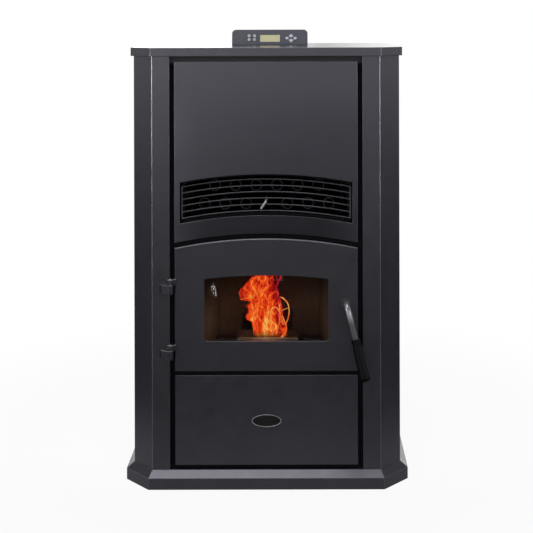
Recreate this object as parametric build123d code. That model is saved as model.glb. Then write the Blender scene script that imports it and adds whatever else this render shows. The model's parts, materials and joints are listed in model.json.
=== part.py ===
from build123d import *
from math import cos, sin, sqrt, tan, radians
import os

# A freestanding pellet stove, in millimetres. +Z is up, the front faces -Y,
# and the origin is the centre of the base's underside.

# Body
body_width = 578
body_depth = 508
top_height = 937
deck_drop = 13
corner_cut = 45
sheet = 2
strip_width = 37.9
strip_return = 14
rear_flange = 20
seat_gap = 0.3
body_front = -body_depth / 2
body_rear = body_depth / 2
body_top = top_height - deck_drop
strip_inner = body_width / 2 - corner_cut - strip_width

# Base
base_margin = 16
base_skirt = 24
base_height = 36
base_sheet = 3
anchor_margin_x = 79
anchor_margin_y = 64
anchor_spacing_x = body_width - 2 * anchor_margin_x
anchor_spacing_y = body_depth - 2 * anchor_margin_y
anchor_radius = 4.5
anchor_access_radius = 14
floor_top = base_height

# Front frame and the panels on it
frame_setback = 11
frame_front = body_front + frame_setback
panel_sheet = 3
panel_gap = 10.1
panel_half_width = strip_inner - panel_gap
panel_arch_radius = 970
upper_panel_drop = 17
upper_panel_top = body_top - upper_panel_drop
upper_panel_bottom = 540

# Warm air slot and its grille
slot_margin = 11.5
slot_half_width = panel_half_width - slot_margin
slot_top = 666.5
slot_bottom = 578.6
bar_radius = 1.5
end_bar_radius = 2
stud_radius = 1.2
bar_count = 6
bar_pitch = 13.5
bar_top = 655.4
bar_clearance = 4
bar_end = slot_half_width - bar_clearance
bar_setback = 6
bar_y = body_front + bar_setback
stud_inset = 6
frame_slot_margin = 10

# Fire door
door_bottom = 245.3
door_top = 528.8
door_plate = 6
door_back = body_front + door_plate
door_edge_bevel = 1.5
window_margin = 63
window_half_width = panel_half_width - window_margin
window_bottom = 309.5
window_top = 450.3
window_arch_radius = 1120
window_corner = 5
glass_lap = 9
glass_thickness = 4
glass_gap = 1
clip_x = 90
clip_width = 24
clip_reach = 9
clip_foot = 14
clip_sheet = 1.5
rope_margin = 50
rope_half_width = panel_half_width - rope_margin
rope_bottom = 280
rope_top = 478
rope_width = 10
rope_corner = 14
channel_lip = 1.5
channel_depth = 4
door_opening_margin = 5

# Door hinges
hinge_offset = 8
hinge_x = -panel_half_width - hinge_offset
hinge_standoff = 8
knuckle_radius = 6.5
hinge_pin_radius = 3
hinge_bores = 0.05
hinge_lug_tops = (444, 304.5)
lug_height = 10.6
lug_gap = 1.4
bracket_height = 19
lug_lap = 3.5
bracket_reach = 24
pin_depth = 16
pin_stand = 1

# Door handle and latch
handle_inset = 24.7
handle_x = panel_half_width - handle_inset
handle_z = 390
handle_bend_reach = 20
grip_reach = (38, 35, 148.5)
handle_bend_y = body_front - handle_bend_reach
grip_end = (handle_x + grip_reach[0], handle_bend_y - grip_reach[1], handle_z - grip_reach[2])
grip_length = 87
handle_rod_radius = 7
handle_bend_radius = 14
handle_bore_gap = 0.05
rod_in_grip = 50
grip_neck_radius = 9.4
grip_end_radius = 12
grip_groove = 1
grip_groove_width = 2
grip_groove_places = (5, 10)
grip_neck_length = 14
grip_end_roundness = 0.7
washer_radius = 12
washer_thickness = 2
cam_hub_radius = 10
cam_length = 24
cam_width = 12
cam_thickness = 4
cam_gap = 2
latch_slot_margin = 3

# Ash drawer
drawer_bottom = 46
drawer_top = 237
drawer_gap = 1
pan_margin = 30
drawer_half_width = panel_half_width - drawer_gap
pan_half_width = panel_half_width - pan_margin
pan_bottom = 58
pan_top = 150
pan_sheet = 1.5
pan_lip = 9
rail_sheet = 2
badge_half_width = 31.5
badge_half_height = 13.5
badge_z = 140.8
badge_thickness = 2.5
badge_rim = 1.6

# Firebox
firebox_margin = 36
rear_room = 273
firebox_half_width = panel_half_width - firebox_margin
firebox_depth = body_depth - rear_room
firebox_front = frame_front + sheet
firebox_rear = firebox_front + firebox_depth
firebox_bottom = 250
firebox_step = 505
firebox_top = 660
stand_top = firebox_bottom
pan_gap = 3
tube_sheet_setback = 36
pan_length = firebox_depth - pan_gap
tube_sheet_y = firebox_front + tube_sheet_setback
step_rise = 15
firebox_wall = 4
mouth_lip = 20
firebox_mouth_half_width = firebox_half_width - mouth_lip
firebox_mouth_bottom = 292
firebox_mouth_top = 470
stand_overhang = 28
ash_hole_inset = (82, 32)
ash_hole_margin = (26, 34)
stand_half_width = firebox_half_width + stand_overhang
ash_hole = (firebox_half_width - ash_hole_inset[0], firebox_half_width - ash_hole_inset[1])
ash_hole_y = (firebox_front + ash_hole_margin[0], firebox_rear - ash_hole_margin[1])
liner_sheet = 5
liner_inset = (12, 44)
liner_front_x = firebox_half_width - liner_inset[0]
liner_rear_x = firebox_half_width - liner_inset[1]
liner_height = 180
pot_half_width = 66
pot_half_depth = 45
pot_setback = 107
pot_centre_y = firebox_front + pot_setback
pot_rim = 286
pot_depth = 26
pot_wall = 3
pot_taper = 8
pot_hole_radius = 2.2
holder_wall = 2.5
igniter_radius = 5
igniter_x = 0
igniter_height = 12
igniter_tail = 12
igniter_flange = 3
igniter_flange_radius = 7
igniter_hole_radius = 9
igniter_gap = 2

# Heat exchanger
tube_radius = 12.5
tube_wall = 1.5
tube_margin = 25
tube_pitch = (firebox_half_width - tube_margin) / 3
upper_row_z = 637
lower_row_z = 597
tube_stick_out = 8
weld_gap = 0.05
scraper_sheet = 3
scraper_gap = 0.5
scraper_margin = 6
scraper_rod_radius = 2.5
scraper_rod_z = 609.5
scraper_hook = (-10.5, -15)
scraper_hook_reach = 7
scraper_hook_y = body_front - scraper_hook_reach

# Hopper, its lid and the top
top_margin = 6.5
top_skirt = 18.5
top_sheet = 3
lid_depth = 270
lid_rear = body_front + lid_depth
lid_hinge_drop = 4
lid_hinge_z = top_height - lid_hinge_drop
lid_knuckle_radius = 4
lid_pin_radius = 2
lid_knuckle_length = 30
lid_knuckle_x = 160
lid_side_gap = 0.4
lid_hinge_clearance = 0.5
rear_plate_front = lid_rear + lid_knuckle_radius + lid_hinge_clearance
lid_bore_gap = 0.05
seal_width = 9
seal_inset = 9
hopper_margin = 84
hopper_setback = 32
hopper_lip = 16
hopper_reach = 161
knee_drop = 34
hopper_half_width = body_width / 2 - hopper_margin
hopper_front = body_front + hopper_setback
hopper_mouth_rear = lid_rear - hopper_lip
hopper_rear = firebox_rear + hopper_reach
hopper_knee = body_top - knee_drop
throat_half_width = 35
throat_depth = 50
throat_front = hopper_rear - throat_depth
throat_z = 575
throat_bottom = 490
grate_bar_radius = 2
grate_bars = 4
grate_z = 600

# Auger
auger_reach = (171, 51)
auger_low = (0, firebox_rear + auger_reach[0], 385)
auger_high = (0, firebox_rear + auger_reach[1], 505)
auger_tube_radius = 30
auger_tube_wall = 3
flight_radius = 24
flight_sheet = 2.5
tube_inlet_inset = 10
tube_inlet_depth = 40
tube_inlet_rise = 200
flight_pitch = 38
flight_start = 12
auger_shaft_radius = 7
gearbox_side = 66
gearbox_length = 36
motor_radius = 21
motor_length = 44
chute_half_width = 34
chute_bottom = 425
chute_top = 545
chute_reach = 66
chute_rear = firebox_rear + chute_reach
chute_floor_rise = 66
spout_length = 58
spout_height = 44
spout_drop = 35
spout_lip = 20

# Exhaust side
fan_reach = 101
fan_y = firebox_rear + fan_reach
fan_z = 175
fan_radius = 70
fan_left = 62
fan_right = 118
fan_wall = 2
exhaust_impeller_radius = 56
fan_inlet_radius = 28
fan_shaft_radius = 4
fan_blades = 10
fan_blade_depth = 34
fan_motor_radius = 35
fan_motor_length = 66
duct_left = 8
duct_bottom = 140
duct_top = 318
duct_depth = 136
duct_rear = firebox_rear + duct_depth
duct_port = (262, 310)
outlet_z = 129
outlet_radius = 38
outlet_wall = 1.5
outlet_reach = 46
adapter_reach = 77
adapter_length = 34
outlet_end = body_rear + outlet_reach
adapter_start = fan_y + adapter_reach
adapter_end = adapter_start + adapter_length

# Combustion air
intake_x = -40
intake_z = 280
intake_radius = 25.4
intake_wall = 1.5
intake_reach = 42
intake_end = body_rear + intake_reach

# Convection blower
blower_margin = 89
blower_length = 88
blower_reach = 122
blower_left = blower_margin - body_width / 2
blower_right = blower_left + blower_length
blower_y = firebox_rear + blower_reach
blower_z = 150
blower_radius = 64
blower_wheel_radius = 50
blower_blades = 20
blower_blade_depth = 10
blower_inlet_radius = 34
blower_foot_half_depth = 40
blower_foot_inset = 24
foot_overlap = 12
blower_motor_radius = 30
blower_motor_length = 42
blower_outlet_width = 46
riser_inset = 2
riser_width = 54
riser_depth = 50
riser_left = riser_inset - firebox_half_width
riser_right = riser_left + riser_width
riser_rear = firebox_rear + riser_depth
plenum_drop = 19
plenum_rise = 15
plenum_depth = 18
plenum_inset = 8
plenum_bottom = lower_row_z - plenum_drop
plenum_top = upper_row_z + plenum_rise
plenum_rear = firebox_rear + plenum_depth
plenum_half_width = firebox_half_width - plenum_inset
duct_link_height = 60
duct_sheet = 1.5

# Rear panel fittings
pipe_gap = 1
vent_slots = 7
vent_slot_pitch = 16
vent_slot_height = 6
inlet_margin = 84
inlet_x = body_width / 2 - inlet_margin
inlet_z = 90
inlet_width = 48
inlet_height = 27
inlet_body_depth = 24
inlet_wall = 3
inlet_flange_x = 8
inlet_flange_z = 3
inlet_well_depth = 16
inlet_blade_depth = 14
inlet_blade_places = ((-7, -2), (0, 2), (7, -2))
inlet_blade_half = (2, 1)
screw_radius = 4
screw_head = 2.4
screw_inset = 10
screw_rows = 5

# Control console
console_half_width = 91.5
console_setback = 24
console_front = lid_rear + console_setback
console_depth = 54
console_lip = 3
console_lip_step = 1.5
console_height = 36.5
console_lean = 10
console_corner = 9.5
console_wall = 2
display_centre = (0.5, 13.1)
display_size = (47.8, 17.2)
display_glass = 1.2
key_radius = 3.6
key_centres = ((-50.2, 19.3), (-37.1, 19.1), (-50.2, 10.0), (-37.1, 10.0))
key_gap = 0.3
key_stand = 1.2
key_travel = 0.8
key_flange = 0.6
key_flange_height = 1
pad_centre = (51.4, 13.1)
arrow_side_inner = 6.2
arrow_side_reach = 14.6
arrow_side_half_width = 3.2
arrow_end_inner = 2.2
arrow_end_reach = 10.8
arrow_end_half_width = 5.2
lamp_centre = (-70.6, 27.6)
lamp_radius = 1
board_sheet = 1.6
board_margin = 8
board_height = 26
board_middle = 14.5
board_tab = 1.5
board_tab_inset = 20


def block(x, y, z):
    """Box between pairs of limits."""
    size = [high - low for low, high in (x, y, z)]
    centre = [(low + high) / 2 for low, high in (x, y, z)]
    return Pos(*centre) * Box(*size)


def rod(start, end, radius):
    """Round bar between two points."""
    along = Vector(*end) - Vector(*start)
    return extrude(Plane(origin=start, z_dir=along) * Circle(radius), along.length)


def tube(start, end, radius, wall):
    """Open pipe between two points."""
    return rod(start, end, radius) - rod(start, end, radius - wall)


def plate(outline, front, thickness):
    """Outline drawn in X and Z, as a plate from a front plane backwards."""
    face = Plane(origin=(0, front, 0), x_dir=(1, 0, 0), z_dir=(0, -1, 0))
    return extrude(face * outline, thickness, dir=(0, 1, 0))


def side_prism(outline, x):
    """Outline drawn in Y and Z, run between two limits in X."""
    face = Plane(origin=(x[0], 0, 0), x_dir=(0, 1, 0), z_dir=(1, 0, 0))
    return extrude(face * outline, x[1] - x[0], dir=(1, 0, 0))


def upright(outline, low, high):
    """Outline drawn in X and Y, run between two heights."""
    return extrude(Pos(0, 0, low) * outline, high - low, dir=(0, 0, 1))


def shape_of(*points):
    """Straight-sided outline through points that keep their own place."""
    return Polygon(*points, align=None)


def rectangle(x, z):
    """Rectangle between pairs of limits."""
    return Pos((x[0] + x[1]) / 2, (z[0] + z[1]) / 2) * Rectangle(x[1] - x[0], z[1] - z[0])


def arch_drop(radius, half_width):
    """How far an arch falls from its crown to its ends."""
    return radius - sqrt(radius**2 - half_width**2)


def arched(half_width, crown, bottom, radius, bottom_crown=None):
    """Outline with an arched top, and an arched bottom where its crown is given."""
    drop = arch_drop(radius, half_width)
    top = ThreePointArc((-half_width, crown - drop), (0, crown), (half_width, crown - drop))
    if bottom_crown is None:
        low = bottom
        base = Line((half_width, low), (-half_width, low))
    else:
        low = bottom_crown - drop
        base = ThreePointArc((half_width, low), (0, bottom_crown), (-half_width, low))
    right = Line((half_width, crown - drop), (half_width, low))
    left = Line((-half_width, low), (-half_width, crown - drop))
    return make_face([top, right, base, left])


def body_outline(margin):
    """Plan of the body with its front corners cut, grown by a margin."""
    half = body_width / 2 + margin
    front = body_front - margin
    rear = body_rear + margin
    cut = corner_cut + margin * (2 - sqrt(2))
    points = (
        (cut - half, front), (half - cut, front), (half, front + cut),
        (half, rear), (-half, rear), (-half, front + cut),
    )
    return shape_of(*points)


def plan(margin, low, high):
    """Body plan grown by a margin, between two heights."""
    return upright(body_outline(margin), low, high)


def bevelled_plan(margin, inner_margin, low, middle, high):
    """Body plan with straight sides, then a bevel inwards."""
    wide = Pos(0, 0, middle) * body_outline(margin)
    narrow = Pos(0, 0, high) * body_outline(inner_margin)
    return plan(margin, low, middle) + loft([wide, narrow])


def anchor_points():
    return [
        (side * anchor_spacing_x / 2, end * anchor_spacing_y / 2)
        for side in (-1, 1)
        for end in (-1, 1)
    ]


def base_plinth():
    """Folded foot: skirt, bevel, floor sheet with anchor holes, and top sheet."""
    outer = bevelled_plan(base_margin, 0, 0, base_skirt, base_height)
    inner = bevelled_plan(
        base_margin - base_sheet, -base_sheet, base_sheet,
        base_skirt - base_sheet / 2, base_height - base_sheet,
    )
    foot = outer - inner
    for x, y in anchor_points():
        foot -= rod((x, y, 0), (x, y, base_sheet), anchor_radius)
        foot -= rod((x, y, base_height - base_sheet), (x, y, base_height), anchor_access_radius)
    return foot


def side_panel():
    """Right side: flat side, cut corner, front strip and folded returns."""
    shell = plan(0, floor_top, body_top) - plan(-sheet, floor_top, body_top)
    middle = block((-strip_inner, strip_inner), (body_front, 0), (floor_top, body_top))
    rear_half = body_width / 2 - rear_flange
    rear = block((-rear_half, rear_half), (0, body_rear), (floor_top, body_top))
    left_half = block((-body_width, 0), (-body_depth, body_depth), (floor_top, body_top))
    fold = block(
        (strip_inner, strip_inner + sheet), (body_front, body_front + strip_return),
        (floor_top, body_top),
    )
    return shell - middle - rear - left_half + fold


def front_frame():
    """Recessed sheet that carries the front panels, with the latch's strike lip."""
    half = strip_inner - seat_gap
    frame = plate(rectangle((-half, half), (floor_top, body_top)), frame_front, sheet)
    slot = arched(
        slot_half_width - frame_slot_margin, slot_top - frame_slot_margin / 2,
        0, panel_arch_radius, slot_bottom + frame_slot_margin / 2,
    )
    frame -= plate(slot, frame_front, sheet)
    rope_out = rope_half_width + rope_width + channel_lip + door_opening_margin
    rope_out = min(rope_out, handle_x - cam_hub_radius)
    mouth = rectangle(
        (-rope_out, rope_out),
        (rope_bottom - rope_width - door_opening_margin, rope_top + rope_width + door_opening_margin),
    )
    frame -= plate(mouth, frame_front, sheet)
    latch = rectangle(
        (handle_x - cam_hub_radius, handle_x + cam_hub_radius + latch_slot_margin),
        (handle_z - cam_length - latch_slot_margin, handle_z + cam_hub_radius + latch_slot_margin),
    )
    frame -= plate(latch, frame_front, sheet)
    pan_hole = rectangle(
        (-pan_half_width - pan_lip - 4, pan_half_width + pan_lip + 4),
        (drawer_bottom, pan_top + 12),
    )
    return frame - plate(pan_hole, frame_front, sheet) + latch_strike()


def folded_panel(outline, back):
    """Front panel: a face sheet with its edge folded back all round."""
    face = plate(outline, body_front, panel_sheet)
    inside = offset(outline, -panel_sheet, kind=Kind.INTERSECTION)
    fold = plate(outline, body_front, back - body_front)
    return face + (fold - plate(inside, body_front, back - body_front))


def front_upper_panel():
    half = panel_half_width
    low = upper_panel_bottom - arch_drop(panel_arch_radius, half)
    arch = ThreePointArc((half, low), (0, upper_panel_bottom), (-half, low))
    right = Line((half, upper_panel_top), (half, low))
    top = Line((-half, upper_panel_top), (half, upper_panel_top))
    left = Line((-half, low), (-half, upper_panel_top))
    outline = make_face([top, right, arch, left])
    panel = folded_panel(outline, frame_front)
    slot = arched(slot_half_width, slot_top, 0, panel_arch_radius, slot_bottom)
    return panel - plate(slot, body_front, panel_sheet)


def louvre_grille():
    """Arched bars welded to two upright end bars, on studs to the front frame."""
    drop = arch_drop(panel_arch_radius, bar_end)
    bottom = bar_top - bar_pitch * (bar_count - 1)
    ends = [
        rod(
            (side * bar_end, bar_y, bottom - drop), (side * bar_end, bar_y, bar_top - drop),
            end_bar_radius,
        )
        for side in (-1, 1)
    ]
    grille = ends[0] + ends[1]
    for i in range(bar_count):
        crown = bar_top - bar_pitch * i
        path = ThreePointArc(
            (-bar_end, bar_y, crown - drop), (0, bar_y, crown), (bar_end, bar_y, crown - drop)
        )
        section = Plane(origin=path @ 0, z_dir=path % 0) * Circle(bar_radius)
        grille += sweep(section, path=path)
    for side in (-1, 1):
        for z in (bottom - drop + stud_inset, bar_top - drop - stud_inset):
            grille += rod((side * bar_end, bar_y, z), (side * bar_end, frame_front, z), stud_radius)
    return grille


def rounded_rectangle(half_width, bottom, top, corner):
    return Pos(0, (bottom + top) / 2) * RectangleRounded(2 * half_width, top - bottom, corner)


def rope_ring(grow_in, grow_out):
    """Plan of the door seal, widened inwards and outwards."""
    outer = rounded_rectangle(
        rope_half_width + rope_width + grow_out, rope_bottom - rope_width - grow_out,
        rope_top + rope_width + grow_out, rope_corner + rope_width,
    )
    inner = rounded_rectangle(
        rope_half_width - grow_in, rope_bottom + grow_in, rope_top - grow_in, rope_corner
    )
    return outer - inner


def door_panel():
    """Door plate with its arched window, and the welded channel for the seal."""
    outline = arched(panel_half_width, door_top, door_bottom, panel_arch_radius)
    panel = plate(outline, body_front, door_plate)
    front_edges = panel.faces().sort_by(Axis.Y)[0].edges()
    panel = chamfer(front_edges, door_edge_bevel)
    opening = arched(window_half_width, window_top, window_bottom, window_arch_radius)
    opening = fillet(opening.vertices(), window_corner)
    panel -= plate(opening, body_front, door_plate)
    channel = rope_ring(channel_lip, channel_lip) - rope_ring(0, 0)
    panel += plate(channel, door_back, channel_depth)
    return panel - handle_bore(body_front, door_back)


def handle_bore(front, back):
    return rod(
        (handle_x, front, handle_z), (handle_x, back, handle_z),
        handle_rod_radius + handle_bore_gap,
    )


def glass_limits():
    """Half width, bottom and top of the glass."""
    return window_half_width + glass_lap, window_bottom - glass_lap, window_top + glass_lap


def door_glass():
    half, bottom, top = glass_limits()
    pane = rectangle((-half, half), (bottom, top))
    return plate(pane, door_back + glass_gap, glass_thickness)


def glass_clips():
    """Four clips that hold the glass to the door, each with its screw."""
    _, bottom, top = glass_limits()
    back = door_back + glass_gap + glass_thickness
    clips = []
    for x in (-clip_x, clip_x):
        for edge, way in ((top, 1), (bottom, -1)):
            limits = sorted((edge + way * seat_gap, edge + way * clip_foot))
            reach = sorted((edge - way * clip_reach, edge + way * clip_foot))
            across = (x - clip_width / 2, x + clip_width / 2)
            foot = block(across, (door_back, back), limits)
            tongue = block(across, (back, back + clip_sheet), reach)
            clips.append(foot + tongue)
    return clips


def door_rope_seal():
    """Rope seal in the door's channel, just clear of the firebox."""
    ring = plate(rope_ring(-seat_gap / 2, -seat_gap / 2), door_back, firebox_front - seat_gap - door_back)
    back_edges = ring.faces().sort_by(Axis.Y)[-1].edges()
    return fillet(back_edges, rope_width / 4)


def hinge_axis_y():
    return body_front - hinge_standoff


def door_hinge_lugs():
    """Knuckle and tab on the door, one at each hinge."""
    y = hinge_axis_y()
    edge = lug_lap - panel_half_width
    lugs = []
    for top in hinge_lug_tops:
        low = top - lug_height
        knuckle = rod((hinge_x, y, low), (hinge_x, y, top), knuckle_radius)
        tab = block((hinge_x, edge), (y - 1, body_front), (low, top))
        bore = rod((hinge_x, y, low), (hinge_x, y, top), hinge_pin_radius + hinge_bores)
        lugs.append(knuckle + tab - bore)
    return lugs


def door_hinge_brackets():
    """Knuckle on the body's front strip, tapered to its outer end."""
    y = hinge_axis_y()
    outer = hinge_x - bracket_reach
    brackets = []
    for lug_top in hinge_lug_tops:
        top = lug_top - lug_height - lug_gap
        low = top - bracket_height
        points = (
            (outer, body_front), (outer + 4, body_front - 5), (hinge_x - 3, y - knuckle_radius + 0.5),
            (hinge_x, y), (hinge_x - 4.5, y + 4), (hinge_x - 4.5, body_front),
        )
        arm = upright(shape_of(*points), low, top)
        knuckle = rod((hinge_x, y, low), (hinge_x, y, top), knuckle_radius)
        bore = rod((hinge_x, y, top - pin_depth), (hinge_x, y, top), hinge_pin_radius + hinge_bores)
        brackets.append(arm + knuckle - bore)
    return brackets


def door_hinge_pins():
    y = hinge_axis_y()
    pins = []
    for lug_top in hinge_lug_tops:
        low = lug_top - lug_height - lug_gap - pin_depth
        pins.append(rod((hinge_x, y, low), (hinge_x, y, lug_top + pin_stand), hinge_pin_radius))
    return pins


def grip_place():
    """Plane at the grip's neck, looking along the bent part of the rod."""
    along = (Vector(*grip_end) - Vector(handle_x, handle_bend_y, handle_z)).normalized()
    return Plane(origin=Vector(*grip_end) - along * grip_length, z_dir=along)


def handle_rod():
    """Spindle through the door, bent down into the rod that carries the grip."""
    neck = grip_place()
    last = neck.origin + neck.z_dir * rod_in_grip
    start = (handle_x, firebox_front + cam_gap + cam_thickness, handle_z)
    corner = (handle_x, handle_bend_y, handle_z)
    path = FilletPolyline(start, corner, tuple(last), radius=handle_bend_radius)
    section = Plane(origin=path @ 0, z_dir=path % 0) * Circle(handle_rod_radius)
    return sweep(section, path=path)


def handle_grip():
    """Tapered grip with ring grooves near its neck and a rounded end."""
    neck = extrude(Circle(grip_neck_radius), grip_neck_length)
    for z in grip_groove_places:
        ring = Circle(grip_neck_radius) - Circle(grip_neck_radius - grip_groove)
        neck -= Pos(0, 0, z) * extrude(ring, grip_groove_width)
    narrow = Pos(0, 0, grip_neck_length) * Circle(grip_neck_radius + grip_groove / 2)
    wide = Pos(0, 0, grip_length) * Circle(grip_end_radius)
    body = loft([narrow, wide])
    body = fillet(body.edges().sort_by(Axis.Z)[-1], grip_end_radius * grip_end_roundness)
    bore = extrude(Circle(handle_rod_radius + handle_bore_gap), rod_in_grip + weld_gap)
    return grip_place().location * (neck + body - bore)


def handle_washer():
    ring = Pos(handle_x, handle_z) * (
        Circle(washer_radius) - Circle(handle_rod_radius + seat_gap)
    )
    return plate(ring, body_front - washer_thickness, washer_thickness)


def latch_cam():
    """Cam on the spindle's inner end, hanging clear of the strike at rest."""
    hub = Pos(handle_x, handle_z) * Circle(cam_hub_radius)
    arm = rectangle(
        (handle_x - cam_width / 2, handle_x + cam_width / 2), (handle_z - cam_length, handle_z)
    )
    bore = Pos(handle_x, handle_z) * Circle(handle_rod_radius + handle_bore_gap)
    return plate(hub + arm - bore, firebox_front + cam_gap, cam_thickness)


def latch_strike():
    """Wear strip welded behind the front frame, for the turned cam."""
    left = handle_x + cam_hub_radius + latch_slot_margin
    strip = rectangle((left, strip_inner - 4), (handle_z - cam_length, handle_z + cam_hub_radius))
    return plate(strip, firebox_front, cam_gap - 1)


def ash_drawer_front():
    outline = rectangle((-drawer_half_width, drawer_half_width), (drawer_bottom, drawer_top))
    return folded_panel(outline, frame_front - seat_gap)


def ash_pan():
    """Open pan with side lips that ride on the rails."""
    front = body_front + panel_sheet
    rear = front + pan_length
    half = pan_half_width
    pan = block((-half, half), (front, rear), (pan_bottom, pan_top))
    pan -= block(
        (pan_sheet - half, half - pan_sheet), (front + pan_sheet, rear - pan_sheet),
        (pan_bottom + pan_sheet, pan_top),
    )
    for low, high in ((-half - pan_lip, -half), (half, half + pan_lip)):
        pan += block((low, high), (firebox_front + 1, rear), (pan_top - pan_sheet, pan_top))
    return pan


def firebox_stand():
    """Bent sheet under the firebox, with the ash holes and the drawer's rails."""
    front = firebox_front
    half = stand_half_width
    stand = block((-half, half), (front, firebox_rear), (floor_top, stand_top))
    inside = (sheet - half, half - sheet)
    stand -= block(inside, (front, firebox_rear), (floor_top, stand_top - sheet))
    for side in (-1, 1):
        x = sorted((side * ash_hole[0], side * ash_hole[1]))
        stand -= block(x, ash_hole_y, (stand_top - sheet, stand_top))
        rail_x = sorted((side * (half - sheet), side * (pan_half_width + seat_gap)))
        rail_top = pan_top - pan_sheet - seat_gap
        stand += block(rail_x, (front, firebox_rear), (rail_top - rail_sheet, rail_top))
    return stand


def firebox_profile():
    points = (
        (firebox_front, firebox_bottom), (firebox_front, firebox_step),
        (tube_sheet_y, firebox_step + step_rise), (tube_sheet_y, firebox_top),
        (firebox_rear, firebox_top), (firebox_rear, firebox_bottom),
    )
    return shape_of(*points)


def tube_centres():
    """Staggered rows of tubes; the lower row leaves its middle for the scraper rod."""
    upper = [((i - 2.5) * tube_pitch, upper_row_z) for i in range(6)]
    lower = [(i * tube_pitch, lower_row_z) for i in (-3, -2, -1, 1, 2, 3)]
    return upper + lower


def holder_limits():
    """Limits in X and Y of the box that the burn pot hangs in."""
    grow = seat_gap + holder_wall
    half_x = pot_half_width + grow
    half_y = pot_half_depth + grow
    return (-half_x, half_x), (pot_centre_y - half_y, pot_centre_y + half_y)


def firebox():
    """Welded firebox: mouth, tube holes and the ports in its rear wall."""
    half = firebox_half_width
    box = side_prism(firebox_profile(), (-half, half))
    inner = offset(firebox_profile(), -firebox_wall, kind=Kind.INTERSECTION)
    box -= side_prism(inner, (firebox_wall - half, half - firebox_wall))
    mouth = rectangle(
        (-firebox_mouth_half_width, firebox_mouth_half_width),
        (firebox_mouth_bottom, firebox_mouth_top),
    )
    box -= plate(mouth, firebox_front, firebox_wall)
    rear = firebox_rear - firebox_wall
    for x, z in tube_centres():
        hole_radius = tube_radius + weld_gap
        box -= rod((x, tube_sheet_y, z), (x, tube_sheet_y + firebox_wall, z), hole_radius)
        box -= rod((x, rear, z), (x, firebox_rear, z), hole_radius)
    rod_hole = scraper_rod_radius + seat_gap
    box -= rod((0, tube_sheet_y, scraper_rod_z), (0, tube_sheet_y + firebox_wall, scraper_rod_z), rod_hole)
    for way in (-1, 1):
        x = sorted((way * ash_hole[0], way * ash_hole[1]))
        box -= block(x, ash_hole_y, (firebox_bottom, firebox_bottom + firebox_wall))
    box -= block((duct_left + 6, fan_left - 8), (rear, firebox_rear), duct_port)
    box -= rod((intake_x, rear, intake_z), (intake_x, firebox_rear, intake_z), intake_radius - intake_wall)
    spout = chute_half_width - sheet
    box -= block((-spout, spout), (rear, firebox_rear), (chute_bottom + sheet, chute_bottom + spout_height))
    hot_z = firebox_bottom + firebox_wall + igniter_height
    return box - rod((igniter_x, rear, hot_z), (igniter_x, firebox_rear, hot_z), igniter_radius + weld_gap)


def pot_holder():
    """Open box on the firebox floor that the burn pot hangs in."""
    floor = firebox_bottom + firebox_wall
    holder_x, holder_y = holder_limits()
    holder = block(holder_x, holder_y, (floor, pot_rim - pot_wall))
    room_x = (holder_x[0] + holder_wall, holder_x[1] - holder_wall)
    room_y = (holder_y[0] + holder_wall, holder_y[1] - holder_wall)
    holder -= block(room_x, room_y, (floor, pot_rim - pot_wall))
    hot_z = floor + igniter_height
    wall_start = (igniter_x, holder_y[1] - holder_wall, hot_z)
    return holder - rod(wall_start, (igniter_x, holder_y[1], hot_z), igniter_hole_radius)


def firebox_liners():
    """Loose inner parts on the firebox floor: side plates, back plate, pot holder."""
    floor = firebox_bottom + firebox_wall
    top = floor + liner_height
    front_y = firebox_front + firebox_wall + 6
    back = firebox_rear - firebox_wall - 2
    run = back - liner_sheet - 1 - front_y
    plates = []
    for side in (-1, 1):
        points = (
            (side * liner_front_x, front_y), (side * (liner_front_x + liner_sheet), front_y),
            (side * (liner_rear_x + liner_sheet), front_y + run), (side * liner_rear_x, front_y + run),
        )
        wall = upright(shape_of(*points), floor, top)
        ash_x = sorted((side * ash_hole[0], side * ash_hole[1]))
        plates.append(wall - block(ash_x, (front_y, back), (floor, floor + 8)))
    half = liner_rear_x + liner_sheet
    behind = (back - liner_sheet, back)
    rear_plate = block((-half, half), behind, (floor, top))
    spout = chute_half_width - sheet + 2
    rear_plate -= block((-spout, spout), behind, (chute_bottom - 8, top))
    rear_plate -= block((duct_left + 4, fan_left - 6), behind, (floor, duct_port[1] + 2))
    reach = intake_radius + 2
    rear_plate -= block((intake_x - reach, intake_x + reach), behind, (floor, intake_z + reach))
    hot = igniter_radius + seat_gap
    rear_plate -= block((igniter_x - hot, igniter_x + hot), behind, (floor, floor + igniter_height + hot))
    return plates + [rear_plate, pot_holder()]


def burn_pot():
    """Tapered cast pot with air holes in its floor and a flat rim."""
    floor = pot_rim - pot_depth
    top = Pos(0, pot_centre_y, pot_rim) * Rectangle(2 * pot_half_width - 4, 2 * pot_half_depth - 4)
    low_x = 2 * pot_half_width - 4 - 2 * pot_taper
    low_y = 2 * pot_half_depth - 4 - 2 * pot_taper
    low = Pos(0, pot_centre_y, floor) * Rectangle(low_x, low_y)
    cup = loft([low, top])
    room_top = Pos(0, pot_centre_y, pot_rim) * Rectangle(
        2 * pot_half_width - 4 - 2 * pot_wall, 2 * pot_half_depth - 4 - 2 * pot_wall
    )
    room_low = Pos(0, pot_centre_y, floor + pot_wall) * Rectangle(
        low_x - 2 * pot_wall, low_y - 2 * pot_wall
    )
    rim = block(
        (-pot_half_width - 2, pot_half_width + 2),
        (pot_centre_y - pot_half_depth - 2, pot_centre_y + pot_half_depth + 2),
        (pot_rim - pot_wall, pot_rim),
    )
    pot = cup + rim - loft([room_low, room_top])
    for i in range(-3, 4):
        for j in range(-1, 2):
            x, y = i * 13, pot_centre_y + j * 16
            pot -= rod((x, y, floor), (x, y, floor + pot_wall), pot_hole_radius)
    return pot


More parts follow.
